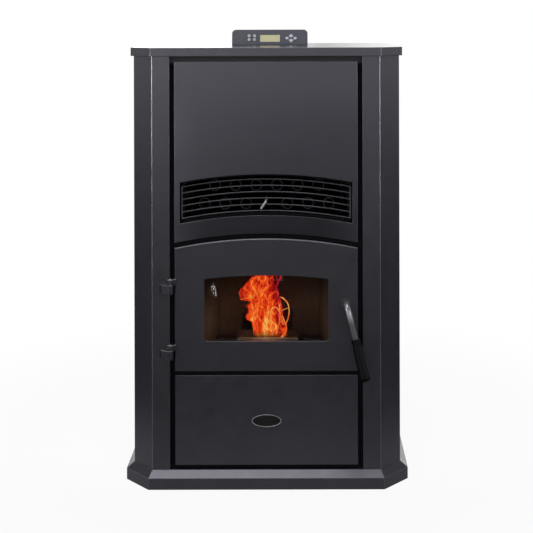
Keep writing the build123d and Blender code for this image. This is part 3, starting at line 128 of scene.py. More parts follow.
class Look(Nodes):
    """A material under construction: its tree, its shader and short calls for surfaces."""

    def __init__(self, name):
        self.material = bpy.data.materials.new(name)
        self.material.use_nodes = True
        super().__init__(self.material.node_tree, "Object")
        self.shader = self.tree.nodes["Principled BSDF"]

    def set(self, **values):
        """Inputs of the shader, with an underscore for each space in their names.

        A plain number that is set before a link stays on the socket, for an export that drops the link.
        """
        for key, value in values.items():
            self.put(value, self.shader.inputs[key.replace("_", " ")])

    def stretched(self, scale):
        return self.node("ShaderNodeMapping", {"Vector": self.place, "Scale": scale}).outputs["Vector"]

    def noise(self, scale, detail=3.0, stretch=None, rough=0.5, distortion=0.0, output="Fac"):
        noise = self.node("ShaderNodeTexNoise", {
            "Vector": self.stretched(stretch) if stretch else self.place,
            "Scale": scale, "Detail": detail, "Roughness": rough, "Distortion": distortion,
        })
        return noise.outputs[output]

    def along(self, axis, low, high, to_low=0.0, to_high=1.0):
        """Share that goes from one value to another between two places along an axis."""
        return self.range(self.part(self.place, axis), low, high, to_low, to_high)

    def aside(self):
        """Distance from the middle of the stove, to either side."""
        return self.math("ABSOLUTE", self.part(self.place, "X"))

    def soft_normal(self, radius):
        """Normal that rounds the sharp edges over a radius."""
        return self.node("ShaderNodeBevel", {"Radius": radius}, samples=4).outputs["Normal"]

    def flat_normal(self):
        return self.node("ShaderNodeNewGeometry").outputs["True Normal"]

    def edge_share(self, soft):
        """How near an edge a point is: the rounded normal against the flat one."""
        return self.range(self.dot(soft, self.flat_normal()), 1.0, 0.9)

    def bump(self, height, strength, distance, normal=None):
        bump = self.node("ShaderNodeBump", {"Strength": strength, "Distance": distance, "Height": height})
        if normal is not None:
            self.put(normal, bump.inputs["Normal"])
        return bump.outputs["Normal"]

    def finish(self, colour, rough, normal=None, metallic=0.0):
        """Set the shader's main inputs and give the material back."""
        self.set(Base_Color=colour, Roughness=rough, Metallic=metallic)
        if normal is not None:
            self.set(Normal=normal)
        return self.material

    def finish_with(self, shader):
        """Put another shader in the place of the first and give the material back."""
        self.put(shader, self.tree.nodes["Material Output"].inputs["Surface"])
        return self.material


# ---------------------------------------------------------------- materials

def wear_and_highlight_rim(look, soft, beyond, upward, above):
    """Share of wear and painted highlight on edges. It can be kept beyond a distance from the middle, or be less on
    edges that don't face up or that lie low, which the overhead light catches less."""
    rim = look.edge_share(soft)
    if beyond:
        rim = look.times(rim, look.range(look.aside(), beyond, beyond + 0.008))
    if upward is not None:
        rim = look.times(rim, look.range(look.part(soft, "Z"), 0.1, 0.5, upward, 1.0))
    if above:
        rim = look.times(rim, look.along("Z", above, above + 0.02, 0.2, 1.0))
    return rim


def painted_shade_and_sheen(look, colour, gloss, top):
    """Painted shade under the warm air outlet, darker and less glossy below a height, and a painted sheen that fades
    from the panel's left edge to its right.
    """
    # Painted shade: it grows over 3 cm below the height, and is weaker towards the sides.
    painted_shade = look.times(look.along("Z", top, top - 0.03), look.range(look.aside(), 0.12, 0.2, 1.0, 0.25))
    # Painted sheen: gloss rises at the panel's left edge and falls towards its right, below the top of the panel.
    x = look.part(look.place, "X")
    lost_right = look.range(x, -0.145, 0.045, 0.0, 0.16)
    gained_left = look.range(x, -0.195, -0.145, 0.26, 0.0)
    lost = look.times(look.along("Z", 0.85, 0.77), look.math("SUBTRACT", lost_right, gained_left))
    painted_sheen = look.times(look.rest(lost), look.rest(look.times(painted_shade, 0.42)))
    look.set(Specular_IOR_Level=look.times(painted_sheen, gloss))
    return look.mix(look.times(painted_shade, 0.7), colour, (0.004, 0.004, 0.005))


def powder_coat(
    name, deep, pale, edge, rough=(0.27, 0.36), grain=0.1, radius=0.0011, gloss=0.85, wear_and_highlight_share=0.6,
    shiny_edge=0.0, wear_and_highlight_beyond=None, wear_and_highlight_upward=None, wear_and_highlight_above=None,
    painted_shade_below=None, paler_above=None, polished_top=None,
):
    """Satin powder coat: fine orange peel, slow colour drift, flecks and paler edges, part wear and part painted
    highlight.

    It can have painted shade below a height with a painted sheen across, a paler band above a height, and faces
    that are rubbed smooth where they face up.
    """
    look = Look(name)
    look.set(Specular_IOR_Level=gloss, Specular_Tint=(0.89, 0.87, 1.0))
    soft = look.soft_normal(radius)
    drift = look.noise(2.6, 4.0, (1.0, 1.0, 0.35))
    smudge = look.noise(38.0, 5.0, rough=0.6)
    speck = look.noise(2300.0, 1.0)
    peel = look.noise(900.0, 2.0)
    colour = look.ramp(drift, (0.3, deep), (0.72, pale))
    colour = look.mix(look.range(speck, 0.62, 0.8, 0.0, 0.22), colour, edge)
    # Paler edges: part wear, part painted highlight.
    rim = wear_and_highlight_rim(look, soft, wear_and_highlight_beyond, wear_and_highlight_upward, wear_and_highlight_above)
    wear_and_highlight = look.times(rim, look.range(smudge, 0.35, 0.7, 0.3 * wear_and_highlight_share, wear_and_highlight_share))
    colour = look.mix(wear_and_highlight, colour, edge)
    if shiny_edge:
        look.set(IOR=look.math("ADD", look.times(rim, shiny_edge), 1.5))
    # Painted shade below a height, with a painted sheen across the panel.
    if painted_shade_below:
        colour = painted_shade_and_sheen(look, colour, gloss, painted_shade_below)
    # Paler above a height.
    if paler_above:
        colour = look.mix(look.along("Z", paler_above, paler_above + 0.006), colour, (0.05, 0.05, 0.054))
    roughness = look.range(smudge, 0.25, 0.8, *rough)
    if polished_top:
        facing_up = look.range(look.dot(look.flat_normal(), (0.0, 0.0, 1.0)), 0.5, 0.9)
        roughness = look.times(roughness, look.rest(look.times(facing_up, 1.0 - polished_top)))
    return look.finish(colour, roughness, look.bump(peel, grain, 0.00012, soft))


def metal(name, deep, pale, rough=(0.28, 0.5), metallic=1.0, painted_shade_along=None):
    """Bare or zinc-coated steel, brushed upright, and darker and duller between two places along an axis: painted
    shade.
    """
    look = Look(name)
    streak = look.noise(420.0, 4.0, (1.0, 1.0, 0.08))
    blotch = look.noise(24.0, 5.0, rough=0.65)
    shade = look.math("ADD", look.times(streak, 0.45), look.times(blotch, 0.55))
    colour = look.ramp(shade, (0.34, deep), (0.64, pale))
    roughness = look.range(blotch, 0.25, 0.75, *rough)
    if painted_shade_along:
        # Painted shade: darker, rougher and less metallic from the first place to the second along the axis, and
        # beyond.
        shaded_share = look.along(*painted_shade_along)
        colour = look.mix(shaded_share, colour, (0.022, 0.022, 0.026))
        roughness = look.math("ADD", roughness, look.times(shaded_share, 0.18))
        look.set(Metallic=metallic)
        metallic = look.times(look.rest(shaded_share), metallic)
    return look.finish(colour, roughness, look.bump(streak, 0.12, 0.00008, look.soft_normal(0.0004)), metallic)


def zinc(name, sooty_to=None):
    """Galvanised sheet with its spangle, and soot up to a depth on pipes that meet the fire."""
    look = Look(name)
    cells = look.node(
        "ShaderNodeTexVoronoi", {"Vector": look.stretched((1.0, 0.8, 1.3)), "Scale": 95.0}, feature="F1"
    )
    blotch = look.noise(12.0, 5.0)
    spangle = look.ramp(cells.outputs["Color"], (0.1, (0.32, 0.33, 0.345)), (0.9, (0.5, 0.515, 0.53)))
    colour = look.mix(look.range(blotch, 0.35, 0.8, 0.0, 0.35), spangle, (0.24, 0.24, 0.245))
    metallic, roughness = 0.85, look.range(blotch, 0.2, 0.8, 0.38, 0.6)
    if sooty_to is not None:
        soot = look.along("Y", sooty_to, sooty_to - 0.015)
        colour = look.mix(soot, colour, (0.006, 0.004, 0.003))
        metallic = look.times(look.rest(soot), metallic)
        roughness = look.math("MAXIMUM", roughness, look.times(soot, 0.95))
    normal = look.bump(look.noise(300.0, 2.0), 0.08, 0.0001, look.soft_normal(0.0005))
    return look.finish(colour, roughness, normal, metallic)


def moulded(name, base, fleck, rough=(0.5, 0.62), scale=1500.0, share=0.45, bump=0.35, gloss=0.5):
    """Moulded plastic with a spark-eroded grain."""
    look = Look(name)
    look.set(Specular_IOR_Level=gloss)
    speck = look.noise(scale, 2.0, rough=0.7)
    colour = look.mix(look.range(speck, 0.5, 0.75, 0.0, share), base, fleck)
    normal = look.bump(speck, bump, 0.00012, look.soft_normal(0.0006))
    return look.finish(colour, look.range(look.noise(30.0, 4.0), 0.3, 0.75, *rough), normal)


def stained(name, deep, pale, soot, black_paint_and_shade_above=None, soot_and_shade_from=None, speckle=0.7, darker_upward_between=None):
    """Heat-stained plate: brown tints, soot and scale.

    It can darken towards the top between two heights; above a height be dark paint, made near black and dull as
    painted shade; and darken behind a depth with soot and painted shade.
    """
    look = Look(name)
    gloss = 0.2
    look.set(Specular_IOR_Level=gloss)
    cloud = look.noise(7.0, 6.0, (1.0, 1.0, 0.6), 0.62, 0.6)
    scale = look.noise(160.0, 5.0, rough=0.7)
    colour = look.ramp(cloud, (0.28, deep), (0.7, pale))
    colour = look.mix(look.range(scale, 0.45, 0.72, 0.0, speckle), colour, soot)
    # Darker towards the top between two heights.
    if darker_upward_between:
        colour = look.mix(look.along("Z", *darker_upward_between, 0.0, 0.8), colour, (0.008, 0.006, 0.005))
    # Dark paint above a height, made near black and without gloss as painted shade behind the grille.
    if black_paint_and_shade_above:
        over = look.along("Z", black_paint_and_shade_above, black_paint_and_shade_above + 0.004)
        colour = look.mix(over, colour, (0.0008, 0.0008, 0.0009))
        look.set(Specular_IOR_Level=look.times(look.rest(over), gloss))
    # Darker behind a depth: soot, and painted shade behind the lit front face.
    if soot_and_shade_from:
        colour = look.mix(look.along("Y", soot_and_shade_from, soot_and_shade_from + 0.002), colour, (0.07, 0.05, 0.035))
    normal = look.bump(scale, 0.4, 0.0006, look.soft_normal(0.0008))
    return look.finish(colour, look.range(scale, 0.3, 0.7, 0.6, 0.85), normal)


def braided(name):
    """Rope seal: a braid of pale grey yarns, greyed by soot."""
    look = Look(name)
    waves = []
    for turn in (0.7, -0.7):
        mapping = look.node("ShaderNodeMapping", {"Vector": look.place, "Rotation": (0.0, turn, 0.0)})
        wave = look.node(
            "ShaderNodeTexWave", {"Vector": mapping.outputs["Vector"], "Scale": 260.0},
            wave_type="BANDS", bands_direction="DIAGONAL",
        )
        waves.append(wave.outputs["Fac"])
    height = look.math("MAXIMUM", *waves)
    soot = look.noise(40.0, 4.0)
    colour = look.ramp(height, (0.2, (0.035, 0.034, 0.033)), (0.85, (0.2, 0.195, 0.19)))
    colour = look.mix(look.range(soot, 0.4, 0.8, 0.0, 0.6), colour, (0.03, 0.028, 0.026))
    return look.finish(colour, 0.9, look.bump(height, 0.6, 0.0008))


def badge_look(name):
    """Oval plate: dark field inside a bright brushed rim."""
    look = Look(name)
    low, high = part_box("badge_plate")
    raised = look.along("Y", low[1] + 0.0003, low[1] + 0.0001)
    streak = look.noise(600.0, 3.0, (0.06, 1.0, 1.0))
    field = look.ramp(streak, (0.3, (0.006, 0.006, 0.007)), (0.7, (0.016, 0.016, 0.018)))
    rim = look.ramp(streak, (0.3, (0.25, 0.25, 0.26)), (0.7, (0.42, 0.42, 0.43)))
    normal = look.bump(streak, 0.1, 0.00005, look.soft_normal(0.0003))
    return look.finish(look.mix(raised, field, rim), look.range(streak, 0.3, 0.7, 0.28, 0.4), normal, 0.6)


def rubber(name):
    """Black rubber seal with a fine grain."""
    look = Look(name)
    grain = look.noise(700.0, 3.0)
    colour = look.ramp(grain, (0.3, (0.016, 0.016, 0.016)), (0.8, (0.034, 0.034, 0.035)))
    return look.finish(colour, look.range(grain, 0.3, 0.8, 0.7, 0.85), look.bump(grain, 0.3, 0.0002))


def window_glass(name):
    """Ceramic glass: clear, a little smoked, with a faint haze in patches."""
    look = Look(name)
    look.set(Transmission_Weight=1.0, IOR=1.2)
    haze = look.noise(9.0, 5.0, rough=0.6)
    colour = look.ramp(haze, (0.3, (0.93, 0.91, 0.89)), (0.8, (0.83, 0.8, 0.77)))
    return look.finish(colour, look.range(haze, 0.3, 0.8, 0.0, 0.045))


def screen(name):
    """Blank reflective display: pale green-yellow film with a fine dot raster, and a faint painted glow."""
    look = Look(name)
    # A faint painted glow.
    look.set(Emission_Color=(0.6, 0.58, 0.33), Emission_Strength=0.08)
    raster = look.node("ShaderNodeTexChecker", {
        "Vector": look.place, "Scale": 1700.0, "Color1": (0.42, 0.4, 0.24), "Color2": (0.45, 0.43, 0.27),
    })
    slow = look.noise(25.0, 2.0)
    colour = look.mix(look.range(slow, 0.3, 0.8, 0.0, 0.3), raster.outputs["Color"], (0.5, 0.48, 0.32))
    return look.finish(colour, look.range(slow, 0.3, 0.8, 0.18, 0.3))


def board(name):
    """Circuit board: green lacquer over a net of tracks."""
    look = Look(name)
    track = look.node("ShaderNodeTexBrick", {
        "Vector": look.place, "Scale": 260.0,
        "Color1": (0.012, 0.09, 0.035), "Color2": (0.014, 0.11, 0.045), "Mortar": (0.1, 0.16, 0.06),
    })
    return look.finish(track.outputs["Color"], 0.4, look.bump(track.outputs["Fac"], 0.2, 0.0001))


# Deep and pale tone of each paint, and the paler tone of its flecks and edges, on the edges part wear and part painted
# highlight.
body_tones = (0.0088, 0.0085, 0.0122), (0.0132, 0.0127, 0.0178)
cast_tones = (0.0118, 0.0115, 0.0145), (0.0165, 0.016, 0.02)
body_edge = (0.2, 0.195, 0.215)
# Near white: a painted highlight on the upper edges of the hinges.
hinge_highlight_edge = (0.6, 0.59, 0.61)

# Materials by the slots of the record, and two for pieces made here: lip_iron and ring_print.
looks = {
    "body_paint": powder_coat("body_paint", *body_tones, body_edge, radius=0.0022),
    # Black paint made darker and duller than paint is, as painted shade in the gaps where the frame shows.
    "frame_paint": powder_coat(
        "frame_paint", (0.0018, 0.0018, 0.0024), (0.0032, 0.0032, 0.0042), (0.008, 0.008, 0.01), (0.6, 0.72),
        gloss=0.08, paler_above=0.9
    ),
    "grille_paint": powder_coat(
        "grille_paint", (0.014, 0.014, 0.015), (0.022, 0.022, 0.024), (0.06, 0.06, 0.065), radius=0.0004, gloss=0.6
    ),
    # The door's upper edges, high up, are paler: mostly a painted highlight of the overhead light.
    "door_cast": powder_coat(
        "door_cast", *cast_tones, (0.4, 0.39, 0.42), grain=0.14, radius=0.0015, gloss=0.72, wear_and_highlight_share=0.8,
        shiny_edge=0.5, wear_and_highlight_upward=0.1, wear_and_highlight_above=0.35
    ),
    "galvanised": zinc("galvanised"),
    "steel": metal("steel", (0.2, 0.2, 0.205), (0.42, 0.42, 0.43)),
    "tube_steel": metal("tube_steel", (0.006, 0.006, 0.007), (0.015, 0.015, 0.016), (0.6, 0.75), metallic=0.3),
    "motor_metal": powder_coat("motor_metal", (0.1, 0.1, 0.105), (0.14, 0.14, 0.148), (0.3, 0.3, 0.3)),
    "lip_iron": stained("lip_iron", (0.17, 0.118, 0.082), (0.25, 0.178, 0.125), (0.07, 0.048, 0.034), speckle=0.4),
    # Near black above the firebox door: dark paint and painted shade behind the grille.
    "firebox_paint": stained(
        "firebox_paint", (0.05, 0.036, 0.025), (0.1, 0.073, 0.051), (0.016, 0.012, 0.01), black_paint_and_shade_above=0.5,
        speckle=0.45
    ),
    # The burn pot is darker behind its front face: soot and painted shade.
    "cast": stained(
        "cast", (0.26, 0.18, 0.125), (0.4, 0.3, 0.21), (0.08, 0.056, 0.04),
        soot_and_shade_from=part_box("burn_pot")[0][1] + 0.003
    ),
    "glass": window_glass("glass"),
    "rope": braided("rope"),
    "seal_rubber": rubber("seal_rubber"),
    "grip_plastic": moulded("grip_plastic", (0.0025, 0.0025, 0.0028), (0.006, 0.006, 0.0065), (0.4, 0.5), gloss=0.06),
    "badge_metal": badge_look("badge_metal"),
    "black_plastic": moulded("black_plastic", (0.014, 0.014, 0.015), (0.03, 0.03, 0.032)),
    "console_plastic": moulded(
        "console_plastic", (0.04, 0.042, 0.06), (0.108, 0.112, 0.152), (0.5, 0.6), scale=1100.0, share=0.5
    ),
    "display": screen("display"),
    "board": board("board"),
    "key_dark": moulded("key_dark", (0.06, 0.066, 0.08), (0.12, 0.125, 0.14)),
    "key_light": moulded("key_light", (0.42, 0.43, 0.5), (0.54, 0.55, 0.62), share=0.4),
    "ring_print": moulded("ring_print", (0.82, 0.82, 0.84), (0.9, 0.9, 0.92), (0.35, 0.5), share=0.3, bump=0.1),
}

# Materials of nodes that differ from the rest of their slot.
own_looks = {
    # Edge wear and painted highlight only at the outer creases of the side panels.
    "side_panel_left": powder_coat(
        "panel_paint", *body_tones, body_edge, radius=0.0022, shiny_edge=0.9, wear_and_highlight_beyond=0.222
    ),
    # The front panel has painted shade under the outlet and a painted sheen from left to right.
    "front_upper_panel": powder_coat("upper_paint", *body_tones, body_edge, radius=0.0022, painted_shade_below=0.605),
    # Less edge wear and painted highlight on the drawer front.
    "ash_drawer_front": powder_coat(
        "drawer_paint", (0.0092, 0.0089, 0.0127), (0.0136, 0.0131, 0.0182), (0.024, 0.023, 0.028), radius=0.0015,
        wear_and_highlight_share=0.3
    ),
    "hopper_lid": powder_coat("lid_paint", *body_tones, body_edge, grain=0.04, radius=0.0022, polished_top=0.5),
    "air_intake_pipe": zinc("pipe_zinc", sooty_to=0.252),
    # The rod is darker low down, painted shade, so its highlight shows only near the bend.
    "handle_rod": metal(
        "handle_steel", (0.13, 0.13, 0.142), (0.27, 0.27, 0.287), (0.26, 0.36), metallic=0.75,
        painted_shade_along=("Z", 0.376, 0.354)
    ),
    "handle_washer": metal("washer_steel", (0.03, 0.03, 0.034), (0.06, 0.06, 0.066), metallic=0.5),
    # Paler upper edges on the hinge parts: a painted highlight of the overhead light.
    "door_hinge_lugs": powder_coat(
        "hinge_cast", *cast_tones, hinge_highlight_edge, grain=0.14, radius=0.0016, gloss=0.5, wear_and_highlight_share=1.0, wear_and_highlight_upward=0.04
    ),
    "door_hinge_brackets": powder_coat(
        "hinge_paint", *body_tones, hinge_highlight_edge, radius=0.0014, gloss=0.5, wear_and_highlight_share=0.9, wear_and_highlight_upward=0.04
    ),
    # The liners grow darker towards the top.
    "firebox_liners": stained(
        "liner_plate", (0.078, 0.058, 0.04), (0.145, 0.112, 0.078), (0.026, 0.021, 0.016), speckle=0.4,
        darker_upward_between=(0.33, 0.4)
    ),
    # The scraper is darker high up: painted shade.
    "tube_scraper": metal(
        "scraper_steel", (0.25, 0.25, 0.26), (0.5, 0.5, 0.5), metallic=0.6, painted_shade_along=("Z", 0.611, 0.614)
    ),
}
own_looks["top_rear_plate"] = own_looks["hopper_lid"]
own_looks["side_panel_right"] = own_looks["side_panel_left"]

slots = {entry["node"]: entry["material_slot"] for entry in frame["record"]["subparts"]}
for name, body in nodes.items():
    body.data.materials.clear()
    body.data.materials.append(own_looks.get(name, looks[slots[name]]))


# ---------------------------------------------------------------- helpers for pieces

def add_object(name, data):
    """Object in the scene, for a mesh, a lamp or a camera."""
    piece = bpy.data.objects.new(name, data)
    bpy.context.scene.collection.objects.link(piece)
    return piece


def dressed(name, mesh, material):
    """Object for a mesh with smooth faces of one material."""
    for face in mesh.polygons:
        face.use_smooth = True
    mesh.materials.append(material)
    return add_object(name, mesh)


def mesh_piece(name, verts, faces, material, body):
    mesh = bpy.data.meshes.new(name)
    mesh.from_pydata(verts, [], faces)
    mesh.validate()
    piece = dressed(name, mesh, material)
    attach(piece, body)
    return piece


# ---------------------------------------------------------------- fire

pot_low, pot_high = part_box("burn_pot")
pot_y = (pot_low[1] + pot_high[1]) / 2
fire_z = pot_high[2]


def flame_look(name, stops, strength, torn):
    """Burning gas: bright threads over darker cells, red at the rim, pale and thin at the root."""
    look = Look(name)
    rise = look.node("ShaderNodeAttribute", attribute_name="rise").outputs["Fac"]
    rim = look.node("ShaderNodeAttribute", attribute_name="rim").outputs["Fac"]
    swirl = look.noise(26.0, 3.0, (1.0, 1.0, 0.6), output="Color")
    sway = look.node(
        "ShaderNodeVectorMath", {0: swirl, 1: (0.05, 0.0, 0.05), 2: look.stretched((1.0, 0.0, 0.42))},
        operation="MULTIPLY_ADD",
    )
    threads = []
    for scale, width, share in ((62.0, 0.1, 1.0), (117.8, 0.14, 0.5)):
        cells = look.node(
            "ShaderNodeTexVoronoi", {"Vector": sway.outputs["Vector"], "Scale": scale}, feature="DISTANCE_TO_EDGE"
        )
        threads.append(look.range(cells.outputs["Distance"], 0.0, width, share, 0.0))
    threads = look.math("MAXIMUM", *threads)
    body = look.noise(30.0, 4.0, (1.0, 1.0, 0.35), 0.6, 1.2)
    # Hot along the threads, cooler at the rim, hottest at the root.
    heat = look.math("ADD", look.times(threads, 0.45), look.range(body, 0.35, 0.65, 0.0, 0.62))
    heat = look.math("SUBTRACT", heat, look.times(rim, 0.5))
    heat = look.math("ADD", heat, look.range(rise, 0.04, 0.26, 0.12, 0.0))
    glow = look.node("ShaderNodeEmission", {"Color": look.ramp(heat, *stops), "Strength": strength})
    # Torn at the rim, and clear at the very root.
    ragged = look.noise(110.0, 3.0, (1.0, 1.0, 0.5), 0.6, 1.0)
    edge = look.math("SUBTRACT", look.math("ADD", ragged, 0.62 - torn), look.times(rim, 0.62))
    edge = look.math("ADD", edge, look.times(threads, 0.2))
    cover = look.times(look.range(edge, 0.3, 0.42), look.range(rise, 0.0, 0.09))
    clear = look.node("ShaderNodeBsdfTransparent")
    look.tree.nodes.remove(look.shader)
    return look.finish_with(look.blend(cover, clear.outputs["BSDF"], glow.outputs["Emission"]))


def smooth_value(values, t):
    """Value at t of 0 to 1 along evenly spaced control values, as a smooth curve."""
    count = len(values) - 1
    i = min(int(t * count), count - 1)
    f = t * count - i
    first, second = values[i], values[i + 1]
    before, after = values[max(i - 1, 0)], values[min(i + 2, count)]
    return 0.5 * (
        2 * first + (second - before) * f
        + (2 * before - 5 * first + 4 * second - after) * f * f
        + (3 * first - before - 3 * second + after) * f ** 3
    )


def flame_piece(name, grid, rises, rims, across, material):
    """Sheet of flame from rows of points, with how high and how near the rim each one is."""
    faces = []
    for row in range(len(grid) // (across + 1) - 1):
        for column in range(across):
            a = row * (across + 1) + column
            faces.append((a, a + 1, a + across + 2, a + across + 1))
    piece = mesh_piece(name, grid, faces, material, root)
    for label, values in (("rise", rises), ("rim", rims)):
        attribute = piece.data.attributes.new(label, "FLOAT", "POINT")
        attribute.data.foreach_set("value", values)
    piece.visible_shadow = False


def flame_sheet(name, rows, depth, bulge, material):
    """Broad sheet of flame: each row is a height with its left and right edge, in mm."""
    across, steps = 36, 6
    grid, rises, rims = [], [], []
    low, high = rows[0][0], rows[-1][0]
    for (z0, left0, right0), (z1, left1, right1) in zip(rows, rows[1:]):
        for step in range(steps):
            f = step / steps
            z = z0 + (z1 - z0) * f
            left, right = left0 + (left1 - left0) * f, right0 + (right1 - right0) * f
            for column in range(across + 1):
                s = 2 * column / across - 1
                x = (left + right) / 2 + s * (right - left) / 2
                fold = 0.2 * math.sin(x * 0.32 + z * 0.05)
                y = depth - (math.sqrt(max(1 - s * s, 0.0)) + fold) * bulge
                grid.append((x / 1000, y, z / 1000))
                rises.append((z - low) / (high - low))
                rims.append(abs(s) ** 5)
    flame_piece(name, grid, rises, rims, across, material)


def flame_strand(name, spine, widths, depth, material):
    """Thin strand of flame along a spine of points in mm, tapered to its tip."""
    across, steps = 6, 44
    grid, rises, rims = [], [], []

    def point(t):
        return Vector((smooth_value([p[0] for p in spine], t), smooth_value([p[1] for p in spine], t)))

    for row in range(steps + 1):
        t = row / steps
        way = (point(min(t + 0.01, 1.0)) - point(max(t - 0.01, 0.0))).normalized()
        side = Vector((way.y, -way.x))
        width = max(smooth_value(widths, t), 0.2)
        for column in range(across + 1):
            s = 2 * column / across - 1
            place = point(t) + side * (s * width)
            grid.append((place.x / 1000, depth - (1 - s * s) * width / 1000, place.y / 1000))
            rises.append(0.12 + 0.88 * t)
            rims.append(0.8 * abs(s) ** 4)
    flame_piece(name, grid, rises, rims, across, material)


def fire():
    """Two sheets of flame, with strands before, between and behind them."""
    orange = (
        (0.05, (0.22, 0.003, 0.004)), (0.25, (0.54, 0.02, 0.006)), (0.45, (0.77, 0.065, 0.008)),
        (0.62, (0.84, 0.14, 0.014)), (0.8, (0.86, 0.3, 0.045)), (0.96, (0.86, 0.5, 0.14)),
    )
    red = (
        (0.1, (0.05, 0.001, 0.004)), (0.35, (0.22, 0.004, 0.012)), (0.6, (0.5, 0.018, 0.014)),
        (0.85, (0.8, 0.12, 0.03)), (1.0, (0.9, 0.3, 0.08)),
    )
    pale = ((0.1, (0.76, 0.1, 0.012)), (0.55, (0.84, 0.24, 0.03)), (0.95, (0.86, 0.5, 0.14)))
    crimson = ((0.1, (0.06, 0.001, 0.006)), (0.5, (0.26, 0.004, 0.02)), (1.0, (0.55, 0.03, 0.03)))
    body = flame_look("flame", orange, 1.15, torn=0.0)
    rear = flame_look("flame_rear", red, 1.1, torn=0.16)
    strand = flame_look("flame_strand", pale, 1.05, torn=-0.3)
    wisp = flame_look("flame_wisp", crimson, 1.0, torn=-0.1)
    flame_sheet("flame_body", [
        (288, -33, 43), (296, -33, 43), (306, -34, 41), (314, -36, 33), (321, -39, 26), (326, -48, 23),
        (333, -50, 22), (341, -46, 20), (350, -45, 21), (356, -52, 22), (360, -44, 22), (367, -42, 23),
        (370, -62, 22), (377, -64, 20), (386, -66, 18), (393, -62, 17), (400, -54, 16), (409, -47, 14.5),
        (418, -39, 14), (427, -33, 13), (440, -26, 10), (456, -15, 5), (466, -7, -4),
    ], depth=pot_y - 0.01, bulge=0.012, material=body)
    flame_sheet("flame_rear", [
        (288, -20, 42), (300, -14, 41), (314, -8, 40), (328, -4, 39), (341, 0, 37), (354, 4, 32),
        (366, 6, 28), (378, 6, 28), (390, 8, 24), (402, 10, 20),
    ], depth=pot_y + 0.012, bulge=0.008, material=rear)
    # Name, material, distance behind the middle of the pot in metres, spine and half widths in mm.
    for name, material, behind, spine, widths in (
        ("flame_curl", strand, -0.026, [(39, 318), (45, 332), (47.5, 350), (44, 366), (34, 377), (26, 380)],
         [1.6, 1.3, 1.1, 1.2, 1.5, 0.6]),
        ("flame_thread", strand, -0.027, [(30, 350), (38, 353), (47, 356)], [1.2, 0.9, 0.5]),
        ("flame_loop", strand, -0.03, [(18, 300), (25, 322), (27, 345), (18, 358), (8, 352), (6, 330), (12, 306)],
         [1.4, 1.6, 1.5, 1.4, 1.5, 1.7, 1.5]),
        ("flame_wisp_high", wisp, 0.004, [(14, 392), (20, 402), (27, 414), (31, 428), (33, 440)],
         [2.4, 2.6, 2.2, 1.8, 0.6]),
        ("flame_wisp_side", wisp, 0.002, [(20, 370), (17, 388), (22, 405), (18, 424), (20, 440)],
         [2.0, 2.4, 2.2, 2.0, 0.6]),
        ("flame_lick", strand, -0.026, [(30, 288), (39, 302), (41, 314), (37, 326), (32, 340)],
         [3.0, 2.6, 1.6, 1.4, 0.5]),
        ("flame_spray", strand, -0.028, [(-40, 372), (-28, 384), (-16, 392), (-2, 402)], [0.5, 1.2, 1.3, 0.5]),
        ("flame_spray_low", strand, -0.028, [(-62, 374), (-48, 378), (-34, 382), (-20, 398)], [0.6, 1.3, 1.2, 0.5]),
    ):
        flame_strand(name, spine, widths, pot_y + behind, material)


def ember_look():
    """Charred pellets that glow in patches."""
    look = Look("embers")
    glow = look.noise(60.0, 3.0)
    char = look.noise(400.0, 3.0)
    colour = look.ramp(char, (0.3, (0.02, 0.012, 0.008)), (0.8, (0.12, 0.06, 0.03)))
    light = look.ramp(glow, (0.42, (0.0, 0.0, 0.0)), (0.58, (0.9, 0.11, 0.01)), (0.75, (1.0, 0.4, 0.08)))
    look.set(Emission_Color=light, Emission_Strength=0.12)
    return look.finish(colour, 0.9, look.bump(char, 0.5, 0.0004))


def ember_bed():
    """Heap of burning pellets in the pot, highest in the middle."""
    pellets, half_width, half_depth, below_rim, heap_height = 150, 0.046, 0.026, 0.021, 0.009
    dice = random.Random(7)
    bed = bmesh.new()
    for _ in range(pellets):
        x = dice.uniform(-half_width, half_width)
        y = pot_y + dice.uniform(-half_depth, half_depth)
        heap = 1 - (x / 0.06) ** 2
        z = fire_z - below_rim + heap_height * heap * dice.random()
        turn = Matrix.Rotation(dice.uniform(0, math.pi), 4, "Z") @ Matrix.Rotation(dice.uniform(1.1, 2.0), 4, "X")
        length = dice.uniform(0.008, 0.014)
        made = bmesh.ops.create_cone(
            bed, cap_ends=True, segments=10, radius1=0.003, radius2=0.0028, depth=length,
            matrix=Matrix.Translation((x, y, z)) @ turn
        )
        edges = {edge for vert in made["verts"] for edge in vert.link_edges}
        rims = [edge for edge in edges if len(edge.link_faces) == 2 and edge.calc_face_angle(0) > 1.0]
        bmesh.ops.bevel(bed, geom=rims, offset=0.0005, segments=2, affect="EDGES")
    mesh = bpy.data.meshes.new("ember_bed")
    bed.to_mesh(mesh)
    bed.free()
    piece = dressed("ember_bed", mesh, ember_look())
    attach(piece, root)


